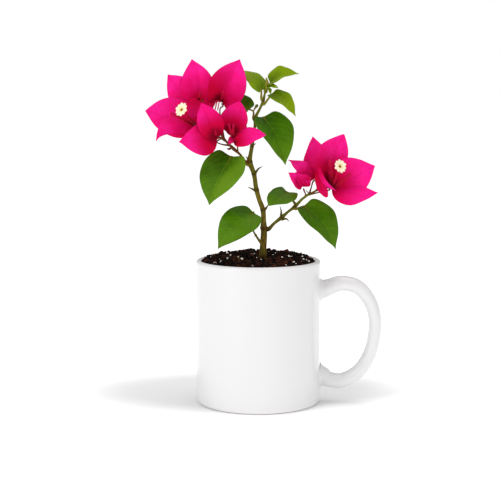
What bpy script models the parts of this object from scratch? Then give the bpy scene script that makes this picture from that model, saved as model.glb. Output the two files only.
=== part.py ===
"""A young bougainvillea in flower, growing in a white glazed mug of potting mix.

Each object is one closed solid. The scene is in metres with +Z up, and the sizes below are in
millimetres. The origin is on the mug's axis at its flat underside, the mug's handle points
along +X, and the flowers face -Y.
"""

import math

import bmesh
import bpy
import numpy as np

MM = 0.001
CLEAR = 0.3  # space left between a piece and what carries it

# Mug
MUG_RADIUS = 41.0
MUG_HEIGHT = 95.5
MUG_WALL = 3.7
MUG_FLOOR = 6.0
LIP_RADIUS = 1.7
FOOT_RADIUS = 37.4  # flat disc that it stands on
FOOT_HEIGHT = 0.9
FOOT_DRAFT = 0.3
FOOT_ROUND = 2.6
INNER_RADIUS = MUG_RADIUS - MUG_WALL
INNER_ROUND = 9.0
MUG_SIDES = 48
HANDLE_SIDES = 14
HANDLE_STEP = 5.0
HANDLE_SINK = 2.2  # how far the handle's ends reach into the wall
# Handle: x, z of its centre line, then its thickness in the XZ plane and across it
HANDLE = [
    (MUG_RADIUS - HANDLE_SINK, 74.3, 12.2, 15.0),
    (47.0, 77.4, 10.8, 12.6),
    (55.0, 79.6, 10.2, 12.0),
    (65.5, 77.2, 9.6, 11.8),
    (73.3, 68.3, 8.9, 11.6),
    (77.0, 57.0, 8.6, 11.6),
    (76.7, 44.0, 8.6, 11.6),
    (73.6, 31.5, 8.8, 11.6),
    (66.6, 20.6, 9.2, 11.8),
    (56.0, 14.5, 9.6, 12.0),
    (47.0, 15.2, 11.2, 12.8),
    (MUG_RADIUS - HANDLE_SINK, 19.4, 15.5, 15.0),
]

# Potting mix
MIX_EDGE = 94.2  # height at the mug's wall
MIX_FLAT = 95.2  # height under the stem's foot
MIX_LEVEL = 7.6  # radius of the level patch round the stem
MIX_CROWN = 0.5
MIX_TILT = 0.9  # how much higher it lies at the back edge
MIX_LUMP = 0.75
MIX_SLOPE = 6.0  # width of the slope down to the wall
MIX_SIDES = 32
MIX_RINGS = 7

# Woody parts: x, y, z of the centre line and the diameter there
STEM = [
    (3.1, 0.0, MIX_FLAT + CLEAR, 5.8),
    (3.1, 0.0, 98.0, 4.9),
    (3.1, 0.0, 103.1, 4.5),
    (3.7, 0.2, 112.3, 4.2),
    (3.5, 0.2, 116.5, 4.4),
    (3.4, 0.0, 120.5, 3.6),
    (3.0, -0.3, 128.2, 3.3),
    (0.4, 0.0, 135.4, 3.1),
    (-1.6, 0.2, 143.3, 3.0),
    (-2.9, 0.0, 151.8, 2.9),
    (-5.7, -0.2, 159.6, 3.5),
    (-5.2, 0.0, 164.2, 2.7),
    (-4.2, 0.2, 170.1, 2.4),
    (-2.4, 0.0, 182.4, 1.9),
    (-2.0, -0.2, 188.3, 2.1),
    (1.3, 0.0, 195.1, 1.7),
    (3.2, 0.0, 199.8, 1.9),
    (4.2, 0.0, 204.4, 1.3),
    (5.4, 0.0, 207.4, 1.1),
]
BRANCH_SEAT = 115.7  # height on the stem where the right branch leaves it
BRANCH = [
    (10.5, -1.0, 119.6, 2.0),
    (15.4, -2.0, 123.6, 2.5),
    (19.5, -3.0, 127.4, 1.8),
    (24.0, -4.0, 131.0, 2.4),
    (28.8, -5.0, 136.1, 1.8),
    (33.0, -5.5, 139.9, 1.9),
]
STALK_SEAT = 160.4  # height on the stem where the left flower stalk leaves it
STALK = [
    (-11.5, -3.0, 164.2, 1.5),
    (-15.9, -6.0, 168.4, 2.1),
    (-19.9, -8.2, 172.4, 1.5),
    (-22.6, -9.6, 175.4, 1.3),
]
BRANCH_ROOT = 3.0  # diameter of a branch where it leaves the stem
STALK_ROOT = 2.0
PEDICEL = 1.0
COLLAR = 1.0  # how far a side limb runs square to the stem's bark before it turns
TWIG_STEP = 2.5  # length of one ring of a stem or twig
THIN_STEP = 1.6
STEM_SIDES = 9
TWIG_SIDES = 7
THIN_SIDES = 6

# Thorns and cut stubs: root on the centre line, bend, tip and root diameter
STEM_THORNS = [
    ((-2.9, 0.0, 151.5), (-0.2, -1.4, 155.4), (2.6, -2.2, 157.0), 1.5),
    ((-1.3, 0.0, 141.2), (-4.3, -0.8, 142.4), (-6.4, -1.2, 143.2), 1.3),
    ((-4.2, 0.0, 169.6), (-2.6, -0.9, 171.2), (-1.4, -1.3, 171.9), 1.0),
    ((-5.6, -0.2, 160.6), (-7.4, 1.2, 162.2), (-8.4, 1.8, 163.4), 1.1),
    ((2.9, -0.2, 128.2), (5.2, -0.7, 130.4), (6.6, -0.9, 132.0), 1.4),
]
BRANCH_THORNS = [
    ((14.9, -2.0, 123.4), (15.0, -1.9, 128.4), (14.0, -2.0, 131.9), 1.1),
    ((16.0, -2.0, 123.8), (18.7, -3.6, 122.6), (19.8, -4.2, 121.2), 1.1),
]

# Leaves: what carries the leaf stalk and at what height, where the blade begins, its tip, the
# way its upper side looks, then width, arch of the midrib, upward fold and sideways curl
LEAVES = {
    "leaf_lower_left": ("stem", 104.2, (-3.6, -3.0, 123.2), (-26.2, -14.0, 104.4),
                        (-0.45, -0.58, 0.68), 28, 0.30, 0.15, 0.3),
    "leaf_mid_left": ("stem", 158.3, (-16.6, -6.0, 161.6), (-31.7, -16.0, 133.0),
                      (-0.50, -0.82, 0.2), 32, 0.12, 0.22, 0.3),
    "leaf_upper_right": ("stem", 185.0, (2.8, -2.0, 187.7), (17.3, -12.0, 158.5),
                         (0.50, -0.80, 0.4), 26, 0.12, 0.25, 0.2),
    "leaf_lower_right": ("branch", 130.4, (29.0, -6.0, 130.6), (50.1, -12.0, 103.9),
                         (0.50, -0.70, 0.5), 25, 0.20, 0.30, 0.2),
    "leaf_centre": ("branch", 131.6, (20.1, 3.0, 138.4), (6.4, -10.0, 132.0),
                    (-0.20, -0.60, 0.8), 20, 0.12, 0.20, 0.3),
    "leaf_top_right": ("stem", 205.6, (9.6, 4.4, 212.0), (26.3, -1.0, 216.8),
                       (-0.20, -0.50, 0.85), 16, 0.10, 0.40, 0.2),
    "leaf_top_left": ("stem", 199.6, (0.4, 1.0, 206.0), (-10.1, 9.0, 218.6),
                      (0.20, -0.90, 0.3), 14, 0.10, 0.20, 0.2),
    "leaf_side_right": ("stem", 197.6, (8.8, 0.5, 202.1), (23.8, -7.0, 189.6),
                        (0.50, -0.60, 0.6), 14, 0.15, 0.30, 0.2),
    "leaf_behind_flowers": ("stem", 188.9, (-6.0, 4.0, 194.3), (-19.0, 14.0, 200.0),
                            (0.10, -0.90, 0.4), 12, 0.10, 0.20, 0.2),
}
# How a kind of blade is made: bluntness of the base, slenderness of the tip, how far the lobes
# reach back as a part of the length, thickness, then rows and columns of faces
LEAF_STYLE = (0.36, 0.78, 0.14, 0.5, 8, 4)
BRACT_STYLE = (0.45, 0.70, 0.05, 0.45, 7, 4)
BUD_STYLE = (0.50, 0.90, 0.0, 0.4, 6, 2)
BRACT_CURL = 0.3
LOBE_SPREAD = (0.06, 0.12)  # where the base lobes are longest and how soon they fade, in lengths
PETIOLE = (1.5, 0.9)  # diameters at the stem and at the blade
PETIOLE_UNDER = 0.1  # how far the leaf stalk runs under the midrib, in blade lengths

# Flower heads: the seat on the stalk, and for each papery bract its tip, the way its inner
# side looks, its width, the arch of its midrib and how far it is cupped
BLOOMS = {
    "bloom_left_top": (
        (-37.2, -3.0, 199.6),
        [((-43.3, 2.0, 226.2), (-0.1, -1.0, 0.1), 20, 0.10, 0.30),
         ((-59.0, 5.0, 216.3), (0.0, -1.0, -0.1), 19, 0.10, 0.25),
         ((-44.0, 22.0, 212.0), (-0.5, 0.2, 0.8), 18, 0.10, 0.25)],
        None,
    ),
    "bloom_left_outer": (
        (-38.0, -9.0, 183.0),
        [((-72.3, -16.0, 193.1), (-0.1, -0.9, 0.4), 27, 0.10, 0.20),
         ((-64.9, -24.0, 173.9), (0.0, -0.7, 0.7), 20, 0.05, 0.30),
         ((-48.0, 16.0, 184.0), (-0.6, 0.2, 0.8), 16, 0.10, 0.25)],
        ((-49.5, -27.0, 194.9), (-0.3, -0.95, 0.15)),
    ),
    "bloom_left_high": (
        (-23.7, -1.0, 197.6),
        [((-12.1, -2.0, 226.1), (0.0, -1.0, 0.0), 25, -0.05, 0.35),
         ((-30.0, 14.0, 188.0), (-0.6, 0.5, 0.6), 14, 0.10, 0.25),
         ((-20.0, 22.0, 208.0), (0.3, -0.2, 0.9), 18, 0.10, 0.25)],
        None,
    ),
    "bloom_left_front": (
        (-25.4, -15.0, 176.4),
        [((-36.4, -24.0, 198.3), (-0.1, -1.0, 0.0), 20, 0.10, 0.20),
         ((-50.3, -30.0, 174.6), (-0.15, -1.0, 0.1), 23, 0.06, 0.20),
         ((-41.0, -7.0, 170.0), (0.0, 0.5, 0.85), 12, 0.10, 0.25)],
        None,
    ),
    "bloom_left_inner": (
        (-17.7, -12.0, 175.5),
        [((-11.9, -15.0, 200.5), (-0.1, -1.0, 0.1), 18, -0.08, 0.35),
         ((4.4, -21.0, 178.0), (-0.1, -1.0, 0.1), 14, 0.00, 0.30),
         ((-12.0, 8.0, 186.0), (0.2, -0.4, 0.9), 14, 0.10, 0.25)],
        None,
    ),
    "bloom_right_large": (
        (46.4, -8.0, 142.4),
        [((55.3, -4.0, 177.9), (0.45, -0.9, 0.0), 25, -0.12, 0.25),
         ((74.6, -17.0, 158.3), (0.0, -1.0, 0.2), 26, 0.06, 0.20),
         ((75.5, -26.0, 142.0), (0.0, -0.95, 0.15), 29, -0.02, 0.20)],
        ((52.1, -26.0, 158.8), (0.25, -0.95, 0.15)),
    ),
    "bloom_right_back": (
        (37.0, -1.0, 148.0),
        [((35.6, 4.0, 176.1), (-0.5, -0.9, 0.1), 17, 0.0, 0.30),
         ((44.0, -12.5, 138.0), (0.5, -0.7, 0.4), 8, 0.10, 0.40),
         ((52.0, 20.0, 160.0), (0.0, -0.3, 0.9), 17, 0.10, 0.25)],
        None,
    ),
    "bloom_right_small": (
        (29.3, -5.0, 142.6),
        [((19.4, -2.0, 161.2), (0.6, -0.6, 0.4), 12, 0.20, 0.30),
         ((19.1, -13.0, 153.6), (0.0, -0.8, 0.6), 13, 0.10, 0.40),
         ((26.0, 13.0, 152.0), (0.0, -0.2, 0.9), 12, 0.10, 0.25)],
        None,
    ),
}
BRACT_SEAT = 1.6  # how far along a flower head's axis its bracts and tubes are rooted
KNOB = [(0.0, 1.3), (1.5, 2.4), (4.5, 1.6)]  # the head's heart: distance along its axis, diameter
# A closed flower tube stands over its bract's midrib: part of the bract's length, height over it
TUBE_LOW = (0.30, 1.2)
TUBE_HIGH = (0.58, 3.4)
TUBE_WIDTH = 2.0
NARROW_BRACT = 10  # a bract no wider than this shows no tube
# The open mouth of a flower: depth along its axis and radius, from the throat round the saucer
STAR = [(-2.4, 0.9), (-0.9, 1.3), (-0.2, 4.1), (0.3, 4.1), (0.1, 1.0)]
STAR_SIDES = 12
SHOOT_LEAVES = [
    ((5.6, -0.8, 208.0), (12.7, -7.5, 207.7), (0.0, -0.6, 0.8), 5, 0.1, 0.3, 0.3),
    ((5.4, -0.5, 208.6), (7.6, -5.6, 203.6), (0.6, -0.7, 0.3), 4, 0.1, 0.3, 0.3),
]
SHOOT = [(5.6, 0.1, 210.6, 1.7), (5.0, 0.2, 214.4, 0.35)]  # the growing tip, past the stem's end

COLOURS = {
    "glazed_stoneware": ("F2F3F2", 0.15),
    "potting_mix": ("24160C", 0.95),
    "bark": ("76632F", 0.75),
    "leaf_green": ("3F7411", 0.45),
    "young_leaf_green": ("7F9F18", 0.45),
    "magenta_bract": ("E4107A", 0.6),
}


def linear(channel):
    """One sRGB channel, 0 to 1, as linear light."""
    return channel / 12.92 if channel <= 0.04045 else ((channel + 0.055) / 1.055) ** 2.4


def material(name):
    colour, roughness = COLOURS[name]
    made = bpy.data.materials.get(name) or bpy.data.materials.new(name)
    made.use_nodes = True
    shader = made.node_tree.nodes["Principled BSDF"]
    rgb = [linear(int(colour[i:i + 2], 16) / 255) for i in (0, 2, 4)]
    shader.inputs["Base Color"].default_value = (*rgb, 1.0)
    shader.inputs["Roughness"].default_value = roughness
    shader.inputs["Metallic"].default_value = 0.0
    return made


def unit(vector):
    vector = np.asarray(vector, float)
    return vector / np.linalg.norm(vector)


def solid(name, points, faces, finish):
    """A mesh object in metres from points in millimetres."""
    mesh = bpy.data.meshes.new(name)
    mesh.from_pydata((np.asarray(points) * MM).tolist(), [], faces)
    mesh.shade_smooth()
    mesh.set_sharp_from_angle(angle=math.radians(40))
    mesh.materials.append(material(finish))
    made = bpy.data.objects.new(name, mesh)
    bpy.context.scene.collection.objects.link(made)
    return made


def loft(name, rings, finish, last_point=None):
    """A skin over rings of equal count, closed by a flat face, or by a fan to last_point."""
    count = len(rings[0])
    points = np.concatenate(rings)
    faces = [list(range(count))[::-1]]
    for start in range(0, count * (len(rings) - 1), count):
        for i in range(count):
            j = (i + 1) % count
            faces.append([start + i, start + j, start + count + j, start + count + i])
    top = count * (len(rings) - 1)
    if last_point is None:
        faces.append(list(range(top, top + count)))
    else:
        points = np.vstack([points, last_point])
        faces += [[top + i, top + (i + 1) % count, top + count] for i in range(count)]
    return solid(name, points, faces, finish)


def smooth(rows, step):
    """A Catmull-Rom curve through the rows, with a point about every step of length."""
    rows = np.asarray(rows, float)
    padded = np.vstack([2 * rows[0] - rows[1], rows, 2 * rows[-1] - rows[-2]])
    path = []
    for a, b, c, d in zip(padded, padded[1:], padded[2:], padded[3:]):
        spans = max(1, round(np.linalg.norm((c - b)[:3]) / step))
        t = np.arange(spans)[:, None] / spans
        path.append(0.5 * (2 * b + (c - a) * t + (2 * a - 5 * b + 4 * c - d) * t**2
                           + (3 * b - a - 3 * c + d) * t**3))
    return np.vstack(path + [rows[-1:]])


def rings_along(path, sides, across=(0.0, 1.0, 0.0)):
    """Round or oval rings along a path of x, y, z, diameter and, if given, the width across."""
    centre = path[:, :3]
    tangents = np.gradient(centre, axis=0)
    turn = np.arange(sides) * math.tau / sides
    second = np.asarray(across, float)
    rings = []
    for point, tangent, row in zip(centre, tangents, path):
        tangent = unit(tangent)
        second = unit(second - tangent * (second @ tangent))
        first = np.cross(second, tangent)
        wide = row[4] if len(row) > 4 else row[3]
        rings.append(point + np.outer(np.cos(turn) * row[3] / 2, first)
                     + np.outer(np.sin(turn) * wide / 2, second))
    return rings


def tube(name, path, sides, finish, flat_foot=False):
    """A tapering tube; flat_foot levels the first ring, for a cut that stands on the mix."""
    rings = rings_along(path, sides)
    if flat_foot:
        rings[0][:, 2] = path[0, 2]
    return loft(name, rings, finish)


def keep_outer_skin(mesh):
    """Drops every skin but the largest, which fills the hollows that a union seals."""
    edit = bmesh.new()
    edit.from_mesh(mesh)
    waiting = set(edit.faces)
    skins = []
    while waiting:
        skin, front = set(), [next(iter(waiting))]
        while front:
            face = front.pop()
            if face not in skin:
                skin.add(face)
                front += [near for edge in face.edges for near in edge.link_faces]
        skins.append(skin)
        waiting -= skin
    largest = max(skins, key=len)
    loose = [face for skin in skins if skin is not largest for face in skin]
    bmesh.ops.delete(edit, geom=loose, context="FACES")
    edit.to_mesh(mesh)
    edit.free()


def fuse(target, pieces, solver="EXACT"):
    """Joins the pieces into the target with one Boolean union, applied."""
    group = bpy.data.collections.new(target.name + "_pieces")
    bpy.context.scene.collection.children.link(group)
    for piece in pieces:
        bpy.context.scene.collection.objects.unlink(piece)
        group.objects.link(piece)
    union = target.modifiers.new("union", "BOOLEAN")
    union.operation = "UNION"
    union.operand_type = "COLLECTION"
    union.collection = group
    union.solver = solver
    graph = bpy.context.evaluated_depsgraph_get()
    joined = bpy.data.meshes.new_from_object(target.evaluated_get(graph))
    target.modifiers.clear()
    target.data = joined
    keep_outer_skin(joined)
    for piece in pieces:
        bpy.data.objects.remove(piece)
    bpy.data.collections.remove(group)
    return target


def circle(radius, height, sides):
    turn = np.arange(sides) * math.tau / sides
    return np.stack([radius * np.cos(turn), radius * np.sin(turn), np.full(sides, height)], 1)


def arc(centre_r, centre_z, radius, start, end, steps):
    """Radius and height of the points on an arc of the turned profile; angles in degrees."""
    angles = np.radians(np.linspace(start, end, steps))
    return [(centre_r + radius * math.cos(a), centre_z + radius * math.sin(a)) for a in angles]


def make_mug():
    """A wall turned from a flat foot over the lip to the inner floor, and the handle on it."""
    lip = MUG_HEIGHT - LIP_RADIUS
    profile = [(FOOT_RADIUS, 0.0), (FOOT_RADIUS + FOOT_DRAFT, FOOT_HEIGHT)]
    profile += arc(MUG_RADIUS - FOOT_ROUND, FOOT_HEIGHT + FOOT_ROUND, FOOT_ROUND, -80, 0, 4)
    profile += arc(MUG_RADIUS - LIP_RADIUS, lip, LIP_RADIUS, 0, 90, 4)
    profile += arc(INNER_RADIUS + LIP_RADIUS, lip, LIP_RADIUS, 90, 180, 4)
    profile += arc(INNER_RADIUS - INNER_ROUND, MUG_FLOOR + INNER_ROUND, INNER_ROUND, 0, -90, 5)
    body = loft("mug", [circle(r, z, MUG_SIDES) for r, z in profile], "glazed_stoneware")
    rows = [(x, 0.0, z, thick, wide) for x, z, thick, wide in HANDLE]
    rings = rings_along(smooth(rows, HANDLE_STEP), HANDLE_SIDES)
    for ring in (rings[0], rings[-1]):
        ring[:, 0] = MUG_RADIUS - HANDLE_SINK
    handle = loft("handle", rings, "glazed_stoneware")
    return fuse(body, [handle])


def mix_height(x, y):
    """Height of the potting mix: gentle lumps, higher at the back, level under the stem."""
    lumps = np.sin(0.62 * x + 1.3) * np.sin(0.55 * y + 0.4) + 0.6 * np.sin(0.37 * x - 0.49 * y)
    inside = np.clip((INNER_RADIUS - np.hypot(x, y)) / MIX_SLOPE, 0.0, 1.0)
    rough = MIX_FLAT + MIX_CROWN + MIX_LUMP * lumps + MIX_TILT * y / INNER_RADIUS
    rough = MIX_EDGE + (rough - MIX_EDGE) * inside
    foot_x, foot_y = STEM[0][:2]
    away = np.clip((np.hypot(x - foot_x, y - foot_y) - MIX_LEVEL) / MIX_SLOPE, 0.0, 1.0)
    return MIX_FLAT + (rough - MIX_FLAT) * away


def make_potting_mix():
    """A plug of mix that fills the mug, with a lumpy top."""
    wall = INNER_RADIUS - CLEAR
    profile = arc(wall - INNER_ROUND, MUG_FLOOR + 2 * CLEAR + INNER_ROUND, INNER_ROUND, -90, 0, 4)
    rings = [circle(r, z, MIX_SIDES) for r, z in profile]
    for radius in np.linspace(wall, wall / MIX_RINGS, MIX_RINGS):
        ring = circle(radius, 0.0, MIX_SIDES)
        ring[:, 2] = mix_height(ring[:, 0], ring[:, 1])
        rings.append(ring)
    return loft("potting_mix", rings, "potting_mix", last_point=(0.0, 0.0, MIX_FLAT))


def beside(path, height, toward):
    """The point just clear of a stem's bark at a height, on the side that faces toward."""
    i = int(np.abs(path[:, 2] - height).argmin())
    along = unit(path[min(i + 1, len(path) - 1), :3] - path[max(i - 1, 0), :3])
    out = np.asarray(toward, float) - path[i, :3]
    out = unit(out - along * (out @ along))
    return path[i, :3] + out * (path[i, 3] / 2 + CLEAR), out


def side_limb(stem, height, rows, root):
    """Path of a limb that starts square to the stem's bark and follows its own rows."""
    start, out = beside(stem, height, rows[0][:3])
    collar = start + out * COLLAR
    return smooth([(*start, root), (*collar, root * 0.85), *rows], TWIG_STEP)


def thorn(root, bend, tip, width):
    rows = [(*root, width), (*bend, width * 0.6), (*tip, width * 0.25)]
    return tube("thorn", smooth(rows, THIN_STEP), THIN_SIDES, "bark")


def outline(s, blunt, point):
    """Half width along a blade, 0 at both ends and 1 at its widest: s^blunt (1 - s)^point."""
    widest = blunt / (blunt + point)
    return (s / widest) ** blunt * ((1.0 - s) / (1.0 - widest)) ** point


def blade_frame(base, tip, face):
    base, tip = np.asarray(base, float), np.asarray(tip, float)
    length = np.linalg.norm(tip - base)
    along = (tip - base) / length
    up = np.asarray(face, float)
    up = unit(up - along * (up @ along))
    return base, length, along, up, np.cross(up, along)


def midrib(base, tip, face, arch, s):
    """Points on the midrib: a straight chord, raised towards the face by a half sine."""
    base, length, along, up, _ = blade_frame(base, tip, face)
    s = np.asarray(s, float)[..., None]
    return base + along * (s * length) + up * (arch * length * np.sin(math.pi * s))


def blade(name, shape, style, finish):
    """A leaf or bract: two skins over one curved surface, joined at the rim.

    Along the blade the midrib arches; across it the halves fold up from the midrib in
    proportion to the distance and curl down with its square, and the base lobes reach back.
    """
    base, tip, face, width, arch, fold, curl = shape
    blunt, point, lobe, thick, rows, columns = style
    s = 0.5 - 0.5 * np.cos(math.pi * np.arange(1, rows) / rows)
    u = np.linspace(-1.0, 1.0, columns + 1)
    start, length, along, up, side = blade_frame(base, tip, face)
    reach = np.outer(width / 2 * outline(s, blunt, point), u)
    lift = fold * np.abs(reach) - curl * reach**2 / width
    middle, spread = LOBE_SPREAD
    back = np.outer(lobe * length * np.exp(-((s - middle) / spread) ** 2), np.abs(u) ** 1.5)
    grid = (midrib(base, tip, face, arch, s)[:, None] + side * reach[..., None] * math.cos(fold)
            + up * lift[..., None] - along * back[..., None])
    normal = np.cross(np.gradient(grid, axis=0), np.gradient(grid, axis=1))
    normal /= np.linalg.norm(normal, axis=2, keepdims=True)
    ends = np.array([start, start + along * length])
    skins = [np.vstack([(grid + normal * half).reshape(-1, 3), ends + up * half])
             for half in (thick / 2, -thick / 2)]
    wide = columns + 1
    last_row = (rows - 2) * wide
    first, last = last_row + wide, last_row + wide + 1
    front = [[a, a + wide, a + wide + 1, a + 1]
             for row in range(0, last_row, wide) for a in range(row, row + columns)]
    front += [[first, j, j + 1] for j in range(columns)]
    front += [[last_row + j + 1, last_row + j, last] for j in range(columns)]
    rim = [first, *range(0, last_row + 1, wide), last, *range(last_row + columns, 0, -wide)]
    back_skin = len(skins[0])
    faces = front + [[back_skin + k for k in face[::-1]] for face in front]
    faces += [[b, a, back_skin + a, back_skin + b] for a, b in zip(rim, rim[1:] + rim[:1])]
    return solid(name, np.vstack(skins), faces, finish)


def make_leaf(name, stems, row):
    """A blade and the stalk that carries it, from just clear of the bark to under the midrib."""
    carrier, height, *shape = row
    base, tip, face, _, arch, _, _ = shape
    finish = "young_leaf_green" if "top" in name or "side" in name else "leaf_green"
    made = blade(name, shape, LEAF_STYLE, finish)
    start, out = beside(stems[carrier], height, base)
    knee = start + out * COLLAR
    under = midrib(base, tip, face, arch, [PETIOLE_UNDER])[0]
    thick, thin = PETIOLE
    rows = [(*start, thick), (*knee, thick * 0.85), (*base, thin), (*under, thin * 0.8)]
    return fuse(made, [tube("petiole", smooth(rows, TWIG_STEP), THIN_SIDES, finish)])


def bloom_axis(seat, bracts):
    return unit(sum(unit(np.asarray(row[0]) - seat) for row in bracts))


def make_star(centre, face):
    """The open mouth of a flower tube: a shallow saucer facing its own way."""
    face = unit(face)
    turn = np.arange(STAR_SIDES) * math.tau / STAR_SIDES
    first = unit(np.cross(face, (0.3, 0.2, 1.0)))
    spokes = np.outer(np.cos(turn), first) + np.outer(np.sin(turn), np.cross(face, first))
    rings = [np.asarray(centre) + face * depth + spokes * radius for depth, radius in STAR]
    return loft("star", rings, "magenta_bract")


def flower_tube(rows):
    return tube("tube", smooth(rows, 2 * TWIG_STEP), THIN_SIDES, "magenta_bract")


def make_bloom(name, seat, bracts, star):
    """A flower head: bracts round a knob, closed tubes over them and perhaps one open flower."""
    seat = np.asarray(seat, float)
    axis = bloom_axis(seat, bracts)
    root = seat + axis * BRACT_SEAT
    knob = np.array([(*(seat + axis * along), wide) for along, wide in KNOB])
    made = tube(name, knob, TWIG_SIDES, "magenta_bract")
    pieces = []
    for tip, face, width, arch, cup in bracts:
        shape = (root, tip, face, width, arch, cup, BRACT_CURL)
        pieces.append(blade("bract", shape, BRACT_STYLE, "magenta_bract"))
        if width > NARROW_BRACT and tip[1] < 0:
            up = blade_frame(root, tip, face)[3]
            low, high = [midrib(root, tip, face, arch, [part])[0] + up * height
                         for part, height in (TUBE_LOW, TUBE_HIGH)]
            pieces.append(flower_tube([(*root, TUBE_WIDTH * 0.5), (*low, TUBE_WIDTH),
                                       (*high, TUBE_WIDTH * 0.6)]))
    if star:
        centre, way = np.asarray(star[0]), star[1]
        end = centre - unit(way) * TUBE_WIDTH
        pieces.append(flower_tube([(*root, TUBE_WIDTH * 0.6), (*((root + end) / 2), TUBE_WIDTH),
                                   (*end, TUBE_WIDTH * 0.85)]))
        pieces.append(make_star(centre, way))
    return fuse(made, pieces, "MANIFOLD")


def pedicel(start, name):
    """The thin stalk from a woody limb to just short of a flower head's seat."""
    seat, bracts, _ = BLOOMS[name]
    axis = bloom_axis(np.asarray(seat), bracts)
    end = seat - axis * CLEAR
    before = end - axis * 2.0
    rows = [(*start, PEDICEL * 1.3), (*((start + before) / 2), PEDICEL),
            (*before, PEDICEL), (*end, PEDICEL * 1.1)]
    return tube("pedicel", smooth(rows, TWIG_STEP), THIN_SIDES, "bark")


def make_shoot(stem):
    start = stem[-1, :3] + unit(stem[-1, :3] - stem[-2, :3]) * CLEAR
    rows = [(*start, STEM[-1][3]), *SHOOT]
    made = tube("shoot_tip", smooth(rows, THIN_STEP), TWIG_SIDES, "young_leaf_green")
    blades = [blade("bud_leaf", shape, BUD_STYLE, "young_leaf_green") for shape in SHOOT_LEAVES]
    return fuse(made, blades)


def main():
    for old in list(bpy.data.objects):
        bpy.data.objects.remove(old)
    make_mug()
    make_potting_mix()
    stem = smooth(STEM, TWIG_STEP)
    branch = side_limb(stem, BRANCH_SEAT, BRANCH, BRANCH_ROOT)
    stalk = side_limb(stem, STALK_SEAT, STALK, STALK_ROOT)
    trunk = tube("stem_main", stem, STEM_SIDES, "bark", flat_foot=True)
    fuse(trunk, [thorn(*row) for row in STEM_THORNS])
    right = tube("branch_right", branch, TWIG_SIDES, "bark")
    tip = branch[-2, :3]
    fuse(right, [thorn(*row) for row in BRANCH_THORNS] + [
        pedicel(tip, "bloom_right_large"), pedicel(tip, "bloom_right_back"),
        pedicel(branch[-3, :3], "bloom_right_small")])
    left = tube("flower_stalk_left", stalk, TWIG_SIDES, "bark")
    fork = stalk[-2, :3]
    fuse(left, [pedicel(fork, name) for name in BLOOMS if "left" in name])
    stems = {"stem": stem, "branch": branch}
    for name, row in LEAVES.items():
        make_leaf(name, stems, row)
    for name, (seat, bracts, star) in BLOOMS.items():
        make_bloom(name, seat, bracts, star)
    make_shoot(stem)


main()
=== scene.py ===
# %% [markdown]
# # A bougainvillea cutting in flower, in a glazed mug
#
# The real thing is a rooted cutting, about thirteen centimetres of woody stem with heart-shaped
# leaves. What looks like a flower is three papery bracts round thin tubes, and only the tiny
# cream star on a tube's end is a true flower.
#
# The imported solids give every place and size. This lesson hides each of them behind a finer
# surface: each new piece is a skin over a grid of points that numpy works out in one go.

# %% Load the solids
import math

import bpy
import numpy as np
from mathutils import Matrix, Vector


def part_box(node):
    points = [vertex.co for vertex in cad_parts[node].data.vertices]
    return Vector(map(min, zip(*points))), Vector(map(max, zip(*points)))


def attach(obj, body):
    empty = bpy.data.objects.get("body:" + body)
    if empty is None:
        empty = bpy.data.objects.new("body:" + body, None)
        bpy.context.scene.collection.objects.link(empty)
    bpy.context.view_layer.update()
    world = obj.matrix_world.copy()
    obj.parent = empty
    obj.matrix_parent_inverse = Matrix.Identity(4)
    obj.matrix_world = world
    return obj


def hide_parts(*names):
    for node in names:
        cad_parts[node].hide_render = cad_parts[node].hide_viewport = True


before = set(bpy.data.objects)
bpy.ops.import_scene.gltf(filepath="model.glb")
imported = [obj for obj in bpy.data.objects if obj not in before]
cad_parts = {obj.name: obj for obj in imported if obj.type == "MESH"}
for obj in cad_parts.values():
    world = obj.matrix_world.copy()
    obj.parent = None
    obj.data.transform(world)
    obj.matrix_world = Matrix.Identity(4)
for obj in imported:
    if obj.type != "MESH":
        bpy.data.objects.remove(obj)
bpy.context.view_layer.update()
print("solids:", ", ".join(sorted(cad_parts)))

# %% [markdown]
# ## Sizes
#
# All sizes below are in millimetres, as a gardener would measure them, and one constant turns
# them to metres when a mesh is made. The mug and the mix are measured on the solids, so they
# can't drift from them.

# %% Sizes read from the solids
MM = 0.001
CLEAR = 0.3  # space between a piece and what carries it
_, MUG_RADIUS, MUG_HEIGHT = np.array(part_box("mug")[1]) / MM
INNER_RADIUS = (np.array(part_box("potting_mix")[1]) / MM)[1] + CLEAR
print(f"mug: {2 * MUG_RADIUS:.1f} mm across, {MUG_HEIGHT:.1f} mm high, {INNER_RADIUS:.1f} mm inside")

# %% [markdown]
# ## One kind of skin for everything
#
# A mug's wall, a stem, a leaf and a crumb of peat are all closed skins made of rings: a leaf is
# only a very flat tube. They could each be built with their own modelling tool, but one grid of
# rings closed by two poles serves them all, stays closed, and carries any value that a material
# wants to know, such as how near a vein a point lies.


# %% Grids of rings
def unit(vectors):
    """The same directions with length 1, along the last axis."""
    vectors = np.asarray(vectors, float)
    return vectors / np.linalg.norm(vectors, axis=-1, keepdims=True)


def around(sides):
    """Angles evenly round a full turn, from 0."""
    return np.arange(sides) * math.tau / sides


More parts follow.
